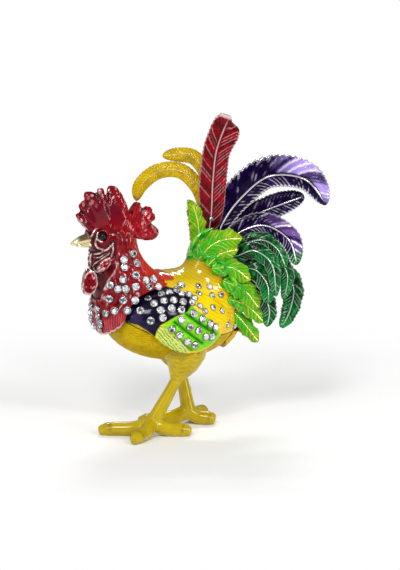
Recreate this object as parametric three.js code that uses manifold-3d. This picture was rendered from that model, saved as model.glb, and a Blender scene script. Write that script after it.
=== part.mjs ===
// Hinged rooster box in enamelled cast metal, in millimetres.
// The bird faces -X, its left side is -Y and it stands on its toes at z = 0.
// A bowl-shaped belly on two legs is the box. The back, neck, wings and tail are its lid,
// which turns on a pin hinge at the rear end of the body, under the tail.
import * as THREE from 'three';
import { mergeVertices } from 'three/addons/utils/BufferGeometryUtils.js';
import Module from 'manifold-3d';

const wasm = await Module();
wasm.setup();

// Fits
const seatGap = 0.3; // between castings that are set on one another
const seamGap = 0.3; // between the rims of bowl and lid
const openGap = 0.65; // between the bowl and what overhangs it, while the lid opens
const pinGap = 0.2; // round the hinge pin
const openingAngles = [0, 1.5, 3.5, 6, 9, 14, 22, 34, 47, 60]; // degrees kept clear
const smoothing = 0.07; // depth of facets and crumbs that a cut leaves and that are merged away
const seamSamples = 400; // points along the parting line
const tipCrowding = 1.5; // sections of feathers and limbs lie closer together towards their tips
const wide = 50; // half breadth of blocks that only bound a cut
const overshoot = 1; // by which a cut runs past the metal it goes through
const tall = 200; // height of such blocks

// Egg-shaped body: widest at one level, with a deeper back than belly
const body = {
  front: -27.2,
  rear: 20.8,
  bellyHeight: 24.5,
  drop: 14.5,
  rise: 16,
  halfWidth: 14.3,
  rearTaper: 0.1,
  rearFall: 1.5,
  wall: 2,
};
const bodyMidX = (body.front + body.rear) / 2;
const bodyHalfLength = (body.rear - body.front) / 2;
const widestZ = body.bellyHeight + body.drop;

// Hump on the rear of the back that carries the tail feathers
const hump = { inset: 8.8, lift: 14, halfLength: 9, halfWidth: 8, halfHeight: 16 };
const humpX = body.rear - hump.inset;
const humpZ = widestZ + hump.lift;

// Parting line in side view: high at the breast, low under the wings
const seam = {
  runOut: 30,
  outerRise: 5,
  breastRise: 4,
  lipRise: 2.7,
  shoulderInset: 12.7,
  shoulderDrop: 2.8,
  flankDrop: 4.4,
  humpDrop: 5.8,
  rearDrop: 6,
};
const seamLine = [
  [body.front - seam.runOut, widestZ + seam.outerRise],
  [body.front, widestZ + seam.breastRise],
  [body.front + body.wall, widestZ + seam.lipRise],
  [body.front + seam.shoulderInset, widestZ - seam.shoulderDrop],
  [bodyMidX, widestZ - seam.flankDrop],
  [humpX, widestZ - seam.humpDrop],
  [body.rear, widestZ - seam.rearDrop],
  [body.rear + 2 * seam.runOut, widestZ - seam.rearDrop],
];

// Pin hinge across the rear rim
const hinge = { standOff: 0.7, radius: 1.5, pin: 0.7, halfWidth: 5, midHalf: 1.7, leaf: 1.3, leafReach: 6 };
const hingeX = body.rear + hinge.standOff;
const hingeZ = widestZ - seam.rearDrop;

// Disc magnets that hold the lid shut, let into a web at the front of each half
const magnet = { radius: 2, thickness: 1.6, web: 8 };

// Neck and bib: front, back and half width of the neck at rising levels above the widest level
const neckLevels = [
  { up: -6, front: -27.5, back: -12, half: 7 },
  { up: -3, front: -29.4, back: -9, half: 10.5 },
  { up: 2, front: -31, back: -7, half: 12.6 },
  { up: 6, front: -31.2, back: -4.5, half: 12.8 },
  { up: 11, front: -31.4, back: -3.6, half: 11.6 },
  { up: 14, front: -32, back: -5, half: 10.6 },
  { up: 17, front: -32.2, back: -8, half: 9.4 },
  { up: 21, front: -32.4, back: -12, half: 7.8 },
  { up: 28, front: -32.2, back: -15.8, half: 6.2 },
];
// Lower edge of the red cape in side view, from the bib's tip to the end of the nape
const capeEdge = [[-60, -8], [-31, -5], [-29, -4.2], [-24.8, 2.8], [-18, 9.5], [-4, 13], [40, 13.5]];
const skull = { x: -24.7, up: 28, halfLength: 8.7, halfWidth: 6.5, halfHeight: 7 };
const skullZ = widestZ + skull.up;

// Comb outline in side view: x, and height above the skull's centre
const combOutline = [
  [-33.4, 3.6], [-36.6, 6.8], [-38.2, 10.6], [-36.6, 11.2], [-36.8, 13.8], [-34.4, 14.2], [-32.8, 17],
  [-30.8, 16.2], [-28.8, 17.8], [-27, 15.6], [-23.8, 18.2], [-20.6, 13], [-17.8, 9.8], [-15.4, 12],
  [-13.4, 10], [-11, 10.4], [-9.8, 6.4], [-7.2, 0.8], [-9.4, -1.2], [-15, -0.8], [-24, 0],
];
const comb = { thickness: 2, roll: 0.9, sway: 0.9, swayLength: 9 };

const beak = {
  length: 8.6,
  inset: 2,
  halfWidth: 2.1,
  halfHeight: 2,
  lowerHalfHeight: 1.2,
  upperLift: 1.2,
  lowerDrop: 1,
  tipDrop: 0.9,
  overbite: 2.2,
  fullTo: 0.2,
};
const dropTaper = 0.35; // by which wattles and ear lobes thin towards their upper end
const wattle = { x: -33.9, y: 1.5, below: 13.2, halfLength: 2.2, halfWidth: 0.95, halfHeight: 4.3 };
const earLobe = { x: -29.6, y: 6.4, below: 5.6, halfLength: 2.6, halfWidth: 1.5, halfHeight: 3.4 };
const eye = { x: -30.1, y: 4.5, up: 2.7, radius: 1.3 };

// Wing outline in side view: x, and height above the widest level
const wingOutline = [
  [-24, 4.6], [-19, 8], [-10, 10.4], [0, 10.2], [8, 7], [14.5, -0.4], [8.4, -6.2],
  [2.6, -9.2], [-2.8, -9.7], [-7.2, -8.8], [-12, -6.2], [-15.4, -3], [-20, 0.4], [-23.6, 2.6],
];
const wing = { midX: -4, up: 0.5, edge: 1.2, crown: 1.3, standOff: 0.4 };

// Legs: hip, knee and ankle, and the toes that spread from the ankle
const leg = {
  hip: 3.8,
  thigh: 6.4,
  knee: 2.3,
  shin: 1.95,
  ankle: 2.6,
  toe: 2.3,
  claw: 1.6,
  spurRoot: 1.5,
  spurTip: 0.6,
  sole: 0.6,
  toeArch: 0.35,
  toeFullTo: 0.75,
  spurFullTo: 0.5,
};
const legs = {
  left: {
    hip: [0.5, -7.5, 30],
    bulge: [-0.5, -8, 24.5],
    knee: [-4.3, -7, 18.6],
    ankle: [-12.2, -5.2, 4.4],
    toes: [[-27.5, 3.4], [-23, -14], [-1.2, -10.8]],
    spur: [-6, -4.6, 11],
  },
  right: {
    hip: [1.5, 7.5, 30],
    bulge: [2.2, 8, 25],
    knee: [3.6, 7, 18.6],
    ankle: [5.8, 5, 4.4],
    toes: [[-10.6, 8.6], [13, 0.6], [15, 12.6]],
    spur: [8.6, 7, 12],
  },
};

// Tail: each feather is a path from its root to its tip, measured from the hump's centre,
// with the widths of its two vanes and its thickness. Left feathers come from the near side.
const nearFace = [-0.3, -1, 0.2];
const rearFace = [1, 0, 0.2];
const blade = { tipSquare: 0.17, fullFrom: 0.5, tipThinning: 0.4, dish: 0.25 };
const sickles = {
  red_sickle: {
    path: [[-2, -1, 12], [-1.6, -2, 20], [-1.2, -2.2, 31], [-0.4, -3, 42], [1.8, -4, 53.6]],
    vanes: [4.8, 4.8],
    thickness: 1.9,
    root: 0.5,
    tipFrom: 0.86,
  },
  purple_sickle_top: {
    path: [[1, -1, 10], [3, -2.2, 16.6], [9, -4, 25], [17.4, -8, 32.2], [28.2, -13, 31], [34.6, -16, 22.6]],
    vanes: [4, 6.8],
    thickness: 1.9,
    root: 0.35,
    tipFrom: 0.6,
  },
  purple_sickle_middle: {
    path: [[4, -1, 8], [9.4, -2, 15.8], [17.6, -4.4, 19.8], [24, -6.4, 22.2], [30, -8.6, 24.4]],
    vanes: [3.8, 4.4],
    thickness: 1.7,
    root: 0.5,
    tipFrom: 0.6,
  },
  purple_sickle_low: {
    path: [[2, -3, 7], [8.2, -4.6, 13.4], [15.6, -8, 15.6], [22.2, -13, 11], [24.2, -15, 2.8]],
    vanes: [3.4, 4.4],
    thickness: 1.8,
    root: 0.5,
    tipFrom: 0.6,
  },
  yellow_sickle_long: {
    path: [[-2.4, 0.6, 11], [-2.2, 1.4, 20], [-3.4, 3.6, 27.6], [-7.6, 8.4, 33], [-14, 12.4, 32.6],
      [-19, 15.2, 27.8], [-20.2, 16.4, 22.6]],
    vanes: [2.7, 2.5],
    thickness: 2,
    root: 0.5,
    tipFrom: 0.75,
  },
  yellow_sickle_short: {
    path: [[0, 1.4, 11], [0.4, 2.6, 22], [0, 4.6, 32], [-2.8, 8.4, 37.2], [-7, 12, 37.8],
      [-11.4, 14.4, 37.4]],
    vanes: [2.6, 2.4],
    thickness: 2,
    root: 0.5,
    tipFrom: 0.7,
  },
};
const greens = [
  {
    path: [[3, -3.4, 6.4], [7.2, -5.4, 8.8], [14.2, -9.2, 11], [18.4, -12.2, 8], [20.4, -14.4, 2]],
    vanes: [2.8, 2.8],
  },
  {
    path: [[2, -4, 4.4], [6, -7, 6], [10.4, -10.4, 8], [15, -14.2, 4.2], [16.2, -16, -7]],
    vanes: [2.8, 3],
  },
  {
    path: [[4, -3, 3.4], [8, -5.4, 6.2], [16, -10, 6.6], [21.4, -13, 0], [20, -14, -9]],
    vanes: [2.8, 2.8],
  },
  {
    path: [[4, -2.4, 1], [9, -4.6, 2.8], [18.2, -8, 2.6], [24.6, -11, -5], [23.2, -12, -13], [20, -12, -19]],
    vanes: [3.4, 3.6],
  },
  {
    path: [[3, -4.4, 0.4], [7.8, -7.6, 1.6], [11.2, -11, 1.2], [13.8, -14, -3.4], [13.6, -15.2, -9.4]],
    vanes: [3.4, 3.2],
  },
  {
    path: [[2, -4, -5], [9, -7.4, -4.6], [13.8, -11, -7.8], [15.4, -12.2, -12.6], [14.6, -12.2, -18]],
    vanes: [3, 3],
  },
];
const limes = [
  { path: [[-6, -1.5, 4.5], [-5.7, -1.5, 10.3], [-6.4, -1.5, 17.3], [-9.1, -1.4, 25]], vanes: [2.9, 2.9] },
  { path: [[-7.6, -5.6, 6], [-4.6, -8, 10.6], [0, -9.6, 12.6], [7, -9.6, 12.2]], vanes: [3.2, 3.4] },
  { path: [[-5, -7.4, 4], [-1, -9.6, 8], [4.6, -10.6, 9]], vanes: [2.5, 2.6] },
  { path: [[-4, -8.6, 1.6], [2.4, -10.6, 1.6], [8.6, -12.2, -3]], vanes: [2.9, 2.9] },
  { path: [[-0.4, -8.8, -3], [6.6, -10.6, -4.6], [13, -12, -9.6]], vanes: [3, 3] },
  { path: [[2, -8.4, -8], [8.4, -9.8, -10.8], [13.8, -11.2, -16.6]], vanes: [2.8, 2.8] },
  { path: [[4.6, -7, -13], [9.2, -7.8, -18.4], [13, -8.6, -23.8]], vanes: [2.5, 2.5] },
];
// Coverts down the middle of the rump, between the two sides
const rumps = [
  { path: [[5, 0, 9], [9.6, 0, 5], [11.6, 0, -3]], vanes: [3, 3] },
  { path: [[5, -3, 2], [9.6, -4, -3], [12, -4.6, -11]], vanes: [2.8, 2.8] },
  { path: [[5, 3, 2], [9.6, 4, -3], [12, 4.6, -11]], vanes: [2.8, 2.8] },
];
const covert = { thickness: 1.7, root: 0.6, tipFrom: 0.55 };

// Enamel and plating colours
const enamel = {
  crimson: { color: 0x9c0a1e, roughness: 0.2, metalness: 0.25 },
  mustard: { color: 0xc49a08, roughness: 0.45, metalness: 0.2 },
  saffron: { color: 0xe0a800, roughness: 0.25, metalness: 0.2 },
  lime: { color: 0x55a80c, roughness: 0.22, metalness: 0.3 },
  forest: { color: 0x064f22, roughness: 0.2, metalness: 0.3 },
  violet: { color: 0x2a0f58, roughness: 0.2, metalness: 0.3 },
  gilt: { color: 0xc9a24a, roughness: 0.25, metalness: 1 },
  steel: { color: 0x9a9a98, roughness: 0.35, metalness: 1 },
  jet: { color: 0x050505, roughness: 0.08, metalness: 0 },
};

// A closed geometry becomes a solid once vertices at one place are shared
function solidOf(geometry) {
  const bare = geometry.clone();
  bare.deleteAttribute('normal');
  bare.deleteAttribute('uv');
  const merged = mergeVertices(bare, 1e-4);
  return new wasm.Manifold(new wasm.Mesh({
    numProp: 3,
    vertProperties: new Float32Array(merged.attributes.position.array),
    triVerts: new Uint32Array(merged.index.array),
  }));
}

function geometryOf(solid) {
  const mesh = solid.getMesh();
  const geometry = new THREE.BufferGeometry();
  geometry.setAttribute('position', new THREE.BufferAttribute(new Float32Array(mesh.vertProperties), 3));
  geometry.setIndex(new THREE.BufferAttribute(new Uint32Array(mesh.triVerts), 1));
  geometry.computeVertexNormals();
  return geometry;
}

// Cutting can leave crumbs beside the piece: the piece is the largest body
function largestBody(solid) {
  const bodies = solid.decompose().sort((a, b) => b.volume() - a.volume());
  return bodies[0].simplify(smoothing);
}

function cut(solid, ...tools) {
  return tools.reduce((left, tool) => left.subtract(tool), solid);
}

function join(...solids) {
  return solids.reduce((whole, next) => whole.add(next));
}

// Move every vertex of a geometry by a rule from its old place to its new one
function shaped(geometry, rule) {
  const position = geometry.attributes.position;
  const point = new THREE.Vector3();
  for (let i = 0; i < position.count; i += 1) {
    point.fromBufferAttribute(position, i);
    const moved = rule(point);
    position.setXYZ(i, moved.x, moved.y, moved.z);
  }
  return geometry;
}

// Unit sphere with its poles along X
function ball(columns, rows, rule) {
  const sphere = new THREE.SphereGeometry(1, columns, rows).rotateZ(Math.PI / 2);
  return solidOf(shaped(sphere, rule));
}

function ellipsoid(x, y, z, halfX, halfY, halfZ, columns = 16, rows = 10) {
  return ball(columns, rows, (p) => new THREE.Vector3(x + halfX * p.x, y + halfY * p.y, z + halfZ * p.z));
}

function block(low, high) {
  const size = high.map((value, i) => value - low[i]);
  const middle = high.map((value, i) => (value + low[i]) / 2);
  return solidOf(new THREE.BoxGeometry(...size).translate(...middle));
}

// Half-width of the egg at a place in side view, and the egg itself, grown or shrunk all round
function eggAt(x, z) {
  const along = (x - bodyMidX) / bodyHalfLength;
  const middle = widestZ - body.rearFall * along;
  const height = (z - middle) / (z > middle ? body.rise : body.drop);
  const left = Math.max(0, 1 - along * along - height * height);
  return body.halfWidth * (1 - body.rearTaper * along) * Math.sqrt(left);
}

function egg(grow, columns = 24, rows = 16) {
  return ball(columns, rows, (p) => new THREE.Vector3(
    bodyMidX + (bodyHalfLength + grow) * p.x,
    (body.halfWidth + grow) * (1 - body.rearTaper * p.x) * p.y,
    widestZ - body.rearFall * p.x + ((p.z > 0 ? body.rise : body.drop) + grow) * p.z,
  ));
}

// Smooth line in side view
function sideCurve(line) {
  const points = line.map(([x, z]) => new THREE.Vector3(x, 0, z));
  return new THREE.CatmullRomCurve3(points, false, 'centripetal');
}

// Block across the bird, bounded in side view by a smooth line and a far level
function sideBlock(line, farZ, shift = 0) {
  const outline = new THREE.Shape();
  outline.moveTo(line[0][0], farZ);
  sideCurve(line).getPoints(line.length * 4).forEach((p) => outline.lineTo(p.x, p.z + shift));
  outline.lineTo(line.at(-1)[0], farZ);
  const depth = 4 * body.halfWidth;
  const extruded = new THREE.ExtrudeGeometry(outline, { depth, bevelEnabled: false });
  return solidOf(extruded.rotateX(Math.PI / 2).translate(0, depth / 2, 0));
}

// Solid along a path: a round bar is mapped to the path's own frame at each step
function alongPath(points, sides, steps, face, section) {
  const path = new THREE.CatmullRomCurve3(points.map((p) => new THREE.Vector3(...p)), false, 'centripetal');
  const facing = new THREE.Vector3(...face);
  const bar = new THREE.CylinderGeometry(1, 1, 1, sides, steps);
  return solidOf(shaped(bar, (p) => {
    const t = 1 - (Math.min(1, Math.max(0, 0.5 - p.y))) ** tipCrowding;
    const forward = path.getTangent(t);
    const across = new THREE.Vector3().crossVectors(forward, facing).normalize();
    const outward = new THREE.Vector3().crossVectors(across, forward);
    const place = section(t, p.x, p.z);
    return path.getPoint(t)
      .addScaledVector(across, place.across)
      .addScaledVector(outward, place.outward)
      .addScaledVector(forward, place.along ?? 0);
  }));
}

// Share of full width along a feather or toe: narrow root, full middle, round tip
function roundTip(t, from) {
  const past = Math.max(0, (t - from) / (1 - from));
  return Math.sqrt(1 - (1 - blade.tipSquare ** 2) * past * past);
}

// Feather blade: a lens section with unequal vanes, dished a little and thinner to the tip
function feather({ path, vanes, thickness, root, tipFrom, face = nearFace }, grow = 0) {
  return alongPath(path, 8, 9, face, (t, x, z) => {
    const filled = Math.sin(Math.PI / 2 * Math.min(1, t / blade.fullFrom));
    const share = (root + (1 - root) * filled) * roundTip(t, tipFrom);
    const vane = (x > 0 ? vanes[0] : vanes[1]) * share + grow;
    const half = thickness / 2 * (1 - blade.tipThinning * t) + grow;
    return { across: x * vane, outward: z * half - blade.dish * half * x * x, along: grow * (2 * t - 1) };
  });
}

// Limb: a round bar whose radius runs through the given values, with a round end if asked
function limb(points, radii, steps, face = [0, 1, 0], tipFrom = 1) {
  const radius = new THREE.SplineCurve(radii.map((r, i) => new THREE.Vector2(i, r)));
  return alongPath(points, 8, steps, face, (t, x, z) => {
    const r = radius.getPoint(t).y * (tipFrom < 1 ? roundTip(t, tipFrom) : 1);
    return { across: x * r, outward: z * r };
  });
}

const parts = new THREE.Group();

function addPart(name, solid, finish) {
  const material = new THREE.MeshStandardMaterial(enamel[finish]);
  const mesh = new THREE.Mesh(geometryOf(largestBody(solid)), material);
  mesh.name = name;
  parts.add(mesh);
}

// Shared forms for seating one casting on another
const lidSpace = sideBlock(seamLine, tall);
const bowlSpace = sideBlock(seamLine, -wide, -seamGap);
const tailHump = (grow) => ellipsoid(humpX, 0, humpZ,
  hump.halfLength + grow, hump.halfWidth + grow, hump.halfHeight + grow);
const lidOutside = join(egg(0), tailHump(0)).intersect(lidSpace);
const lidSeat = join(egg(seatGap), tailHump(seatGap));

// Room that the bowl sweeps, seen from the lid as it opens
function turnedAboutHinge(solid, degrees) {
  const turn = new THREE.Matrix4().makeTranslation(hingeX, 0, hingeZ)
    .multiply(new THREE.Matrix4().makeRotationY(THREE.MathUtils.degToRad(degrees)))
    .multiply(new THREE.Matrix4().makeTranslation(-hingeX, 0, -hingeZ));
  return solid.transform(turn.elements);
}
const bowlGrown = egg(openGap, 18, 12).intersect(bowlSpace);
const bowlSweep = join(...openingAngles.map((angle) => turnedAboutHinge(bowlGrown, -angle)))
  .simplify(2 * smoothing);

// Magnet discs lie in pockets square to the sloping seam at the breast
const magnetX = body.front + body.wall + magnet.web / 2;
const seamCurve = sideCurve(seamLine);
const seamPoints = seamCurve.getPoints(seamSamples);
const magnetIndex = seamPoints.findIndex((p) => p.x >= magnetX);
const magnetSpot = seamPoints[magnetIndex];
const magnetSlope = seamCurve.getTangent(magnetIndex / seamSamples);
function magnetDisc(side, radius, from, to) {
  const middle = side * (from + to) / 2 - seamGap / 2;
  return solidOf(new THREE.CylinderGeometry(radius, radius, to - from, 16)
    .rotateX(Math.PI / 2)
    .translate(0, 0, middle)
    .rotateY(-Math.atan2(magnetSlope.z, magnetSlope.x))
    .translate(magnetSpot.x, 0, magnetSpot.z));
}
const magnetSink = seamGap / 2 + seatGap;
const magnetPocket = (side) => magnetDisc(side, magnet.radius + seatGap, -magnet.web / 2,
  magnetSink + magnet.thickness + seatGap);
const magnetBody = (side) => magnetDisc(side, magnet.radius, magnetSink, magnetSink + magnet.thickness);

// Belly bowl and lid shell: two halves of one egg round the hollow, parted at the seam
const webX = body.front + body.wall + magnet.web;
const hollow = egg(-body.wall, 18, 12).intersect(block([webX, -wide, 0], [body.rear + wide, wide, tall]));
addPart('belly_bowl', cut(egg(0).intersect(bowlSpace), hollow, magnetPocket(-1)), 'mustard');
addPart('lid_shell', cut(lidOutside, hollow, magnetPocket(1)), 'saffron');
addPart('bowl_magnet', magnetBody(-1), 'steel');
addPart('lid_magnet', magnetBody(1), 'steel');

// Hinge: two knuckles on the bowl's leaf, one on the lid's, and the pin through all three
const knuckle = (from, to, radius) => solidOf(new THREE.CylinderGeometry(radius, radius, to - from, 12)
  .translate(hingeX, (from + to) / 2, hingeZ));
const outerFrom = hinge.midHalf + seamGap;
const pastEnd = hinge.halfWidth + overshoot;
const pinHole = knuckle(-pastEnd, pastEnd, hinge.pin + pinGap);
const leafSkin = cut(egg(seatGap + hinge.leaf), egg(seatGap));
const leafPlate = (fromZ, toZ) => leafSkin.intersect(block(
  [body.rear - hinge.leafReach, -hinge.halfWidth, fromZ],
  [body.rear + wide, hinge.halfWidth, toZ],
));
// Each leaf is notched straight through where the knuckles of the other leaf turn
const notchDepth = hinge.radius + seamGap;
const notch = (fromY, toY, fromZ, toZ) => block(
  [body.rear - hinge.leafReach - overshoot, fromY, fromZ],
  [body.rear + wide, toY, toZ],
);
const midRoom = notch(-outerFrom, outerFrom, hingeZ - notchDepth, hingeZ);
const endRooms = [
  notch(-pastEnd, -hinge.midHalf, hingeZ, hingeZ + notchDepth),
  notch(hinge.midHalf, pastEnd, hingeZ, hingeZ + notchDepth),
];
const bowlLeaf = join(
  cut(leafPlate(hingeZ - hinge.leafReach, hingeZ - seamGap), midRoom),
  knuckle(-hinge.halfWidth, -outerFrom, hinge.radius),
  knuckle(outerFrom, hinge.halfWidth, hinge.radius),
);
const lidLeaf = join(
  cut(leafPlate(hingeZ + seamGap, hingeZ + hinge.leafReach), ...endRooms),
  knuckle(-hinge.midHalf, hinge.midHalf, hinge.radius),
);
addPart('bowl_hinge_leaf', cut(bowlLeaf, pinHole), 'gilt');
addPart('lid_hinge_leaf', cut(lidLeaf, pinHole), 'gilt');
addPart('hinge_pin', knuckle(-hinge.halfWidth, hinge.halfWidth, hinge.pin), 'steel');

// Head and neck: a tapering column of oval sections under the skull, cut to the cape's edge
function neckColumn(grow) {
  const ovals = new THREE.CatmullRomCurve3(neckLevels.map((n) => new THREE.Vector3(n.front, n.back, n.half)));
  const levels = new THREE.SplineCurve(neckLevels.map((n, i) => new THREE.Vector2(i, widestZ + n.up)));
  const column = new THREE.CylinderGeometry(1, 1, 1, 18, 11);
  return solidOf(shaped(column, (p) => {
    const t = p.y + 0.5;
    const oval = ovals.getPoint(t);
    return new THREE.Vector3(
      (oval.x + oval.y) / 2 + ((oval.y - oval.x) / 2 + grow) * p.x,
      -(oval.z + grow) * p.z,
      levels.getPoint(t).y + grow * (2 * t - 1),
    );
  }));
}
const skullForm = (grow) => ellipsoid(skull.x, 0, skullZ,
  skull.halfLength + grow, skull.halfWidth + grow, skull.halfHeight + grow);
const capeSpace = sideBlock(capeEdge.map(([x, up]) => [x, widestZ + up]), tall);
const headForm = join(neckColumn(0).intersect(capeSpace), skullForm(0));
const headSeat = join(neckColumn(seatGap).intersect(capeSpace), skullForm(seatGap));
addPart('head_and_hackle', cut(headForm, lidSeat, bowlSweep), 'crimson');

// Comb: a lobed plate that sways from side to side, standing on the skull
const combCurve = new THREE.CatmullRomCurve3(
  combOutline.map(([x, up]) => new THREE.Vector3(x, skullZ + up, 0)), true, 'centripetal');
const combShape = new THREE.Shape(combCurve.getPoints(combOutline.length * 2).slice(0, -1)
  .map((p) => new THREE.Vector2(p.x, p.y)));
const combPlate = new THREE.ExtrudeGeometry(combShape, {
  depth: comb.thickness, bevelEnabled: true, bevelThickness: comb.roll, bevelSize: comb.roll / 2,
  bevelOffset: -comb.roll / 2, bevelSegments: 1,
}).translate(0, 0, -comb.thickness / 2).rotateX(Math.PI / 2);
const combForm = solidOf(shaped(combPlate, (p) => new THREE.Vector3(
  p.x, p.y + comb.sway * Math.sin(2 * Math.PI * p.x / comb.swayLength), p.z)));
addPart('comb', cut(combForm, headSeat), 'crimson');

// Beak: hooked upper mandible over a shorter lower one
const beakRoot = skull.x - skull.halfLength + beak.inset;
const beakTip = beakRoot - beak.inset / 2 - beak.length;
function mandible(tipX, z, halfHeight) {
  const line = [[beakRoot, 0, z], [(beakRoot + tipX) / 2, 0, z], [tipX, 0, z - beak.tipDrop]];
  return alongPath(line, 10, 6, [0, 1, 0], (t, x, y) => {
    const share = roundTip(t, beak.fullTo);
    return { across: x * halfHeight * share, outward: y * beak.halfWidth * share };
  });
}
const upperBeak = mandible(beakTip, skullZ + beak.upperLift, beak.halfHeight);
const lowerBeak = mandible(beakTip + beak.overbite, skullZ - beak.lowerDrop, beak.lowerHalfHeight);
addPart('beak', cut(join(upperBeak, lowerBeak), headSeat), 'gilt');

// Face: wattles, ear lobes and eyes, one of each on either side
const sides = { left: -1, right: 1 };
const drop = (x, y, z, halfX, halfY, halfZ) => ball(12, 8, (p) => new THREE.Vector3(
  x + halfX * p.x, y + halfY * p.y * (1 - dropTaper * p.z), z + halfZ * p.z));
for (const [side, sign] of Object.entries(sides)) {
  const wattleForm = drop(wattle.x, sign * wattle.y, skullZ - wattle.below,
    wattle.halfLength, wattle.halfWidth, wattle.halfHeight);
  addPart(`${side}_wattle`, cut(wattleForm, headSeat), 'crimson');
  const lobeForm = drop(earLobe.x, sign * earLobe.y, skullZ - earLobe.below,
    earLobe.halfLength, earLobe.halfWidth, earLobe.halfHeight);
  addPart(`${side}_ear_lobe`, cut(lobeForm, headSeat), 'crimson');
  const eyeForm = ellipsoid(eye.x, sign * eye.y, skullZ + eye.up, eye.radius, eye.radius, eye.radius, 10, 6);
  addPart(`${side}_eye`, cut(eyeForm, headSeat), 'jet');
}

// Legs: thigh, shank, spur and toes in one casting, with flat soles
const ground = block([-wide * 2, -wide, -wide], [wide * 2, wide, 0]);
const bowlSeat = egg(seatGap);
for (const [side, place] of Object.entries(legs)) {
  const [ankleX, ankleY] = place.ankle;
  const toes = place.toes.map(([x, y]) => {
    const archX = ankleX + (x - ankleX) * leg.toeArch;
    const archY = ankleY + (y - ankleY) * leg.toeArch;
    const line = [place.ankle, [archX, archY, leg.toe - leg.sole], [x, y, leg.claw - leg.sole]];
    return limb(line, [leg.shin, leg.toe, leg.claw], 5, [0, 0, 1], leg.toeFullTo);
  });
  const thigh = limb([place.hip, place.bulge, place.knee], [leg.hip, leg.thigh, leg.knee], 5);
  const shank = limb([place.knee, place.ankle], [leg.knee, leg.shin], 3);
  const kneeCap = ellipsoid(...place.knee, leg.knee, leg.knee, leg.knee, 8, 6);
  const ankleJoint = ellipsoid(...place.ankle, leg.ankle, leg.ankle, leg.ankle, 8, 6);
  const middle = place.knee.map((value, i) => (value + place.ankle[i]) / 2);
  const spur = limb([middle, place.spur], [leg.spurRoot, leg.spurTip], 3, [0, 1, 0.2], leg.spurFullTo);
  const whole = join(thigh, kneeCap, shank, ankleJoint, spur, ...toes);
  addPart(`${side}_leg`, cut(whole, bowlSeat, ground), 'mustard');
}

// Tail feathers: each is seated on the lid and cut back from those already set in front of it
const setFeathers = [];
function setFeather(name, spec, finish) {
  const form = { ...covert, ...spec };
  const clear = cut(feather(form), lidSeat, bowlSweep, ...setFeathers);
  addPart(name, clear, finish);
  setFeathers.push(feather(form, seatGap));
}
const mirrored = (spec) => ({
  ...spec,
  path: spec.path.map(([x, y, z]) => [x, -y, z]),
  face: [nearFace[0], -nearFace[1], nearFace[2]],
});
const onHump = (spec) => ({ ...spec, path: spec.path.map(([x, y, z]) => [humpX + x, y, humpZ + z]) });
limes.forEach((spec, i) => setFeather(`left_lime_covert_${i + 1}`, onHump(spec), 'lime'));
greens.forEach((spec, i) => setFeather(`left_green_sickle_${i + 1}`, onHump(spec), 'forest'));
limes.forEach((spec, i) => setFeather(`right_lime_covert_${i + 1}`, mirrored(onHump(spec)), 'lime'));
greens.forEach((spec, i) => setFeather(`right_green_sickle_${i + 1}`, mirrored(onHump(spec)), 'forest'));
rumps.forEach((spec, i) => setFeather(`rump_covert_${i + 1}`, { ...onHump(spec), face: rearFace }, 'lime'));
const sickleOrder = ['purple_sickle_low', 'purple_sickle_top', 'red_sickle', 'purple_sickle_middle',
  'yellow_sickle_long', 'yellow_sickle_short'];
const sickleFinish = { purple: 'violet', red: 'crimson', yellow: 'saffron' };
for (const name of sickleOrder) {
  setFeather(name, onHump(sickles[name]), sickleFinish[name.split('_')[0]]);
}

// Wings: crowned plates that follow the flank and hang straight below its widest level
const wingCurve = new THREE.CatmullRomCurve3(
  wingOutline.map(([x, up]) => new THREE.Vector3(x, 0, widestZ + up)), true, 'centripetal');
function wingForm(sign) {
  const middle = new THREE.Vector3(wing.midX, 0, widestZ + wing.up);
  const disc = new THREE.SphereGeometry(1, 22, 7);
  return solidOf(shaped(disc, (p) => {
    const reach = Math.hypot(p.x, p.z);
    const turn = (1 - sign * Math.atan2(p.z, p.x) / (2 * Math.PI)) % 1;
    const spot = middle.clone().lerp(wingCurve.getPoint(turn), reach);
    const raised = p.y > 0 ? wing.edge * reach + (wing.edge + wing.crown) * (1 - reach) : 0;
    const flank = eggAt(spot.x, Math.max(spot.z, widestZ));
    return new THREE.Vector3(spot.x, sign * (flank + wing.standOff + raised), spot.z);
  }));
}
for (const [side, sign] of Object.entries(sides)) {
  addPart(`${side}_wing`, cut(wingForm(sign), lidSeat, bowlSweep, headSeat, ...setFeathers), 'lime');
}

// The origin lies on the ground, under the middle of the whole bird
const box = new THREE.Box3().setFromObject(parts);
const middle = box.getCenter(new THREE.Vector3());
parts.position.set(-middle.x, -middle.y, -box.min.z);

export default parts;
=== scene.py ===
import math
import bpy
import numpy as np
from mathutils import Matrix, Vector
from mathutils.bvhtree import BVHTree


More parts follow.
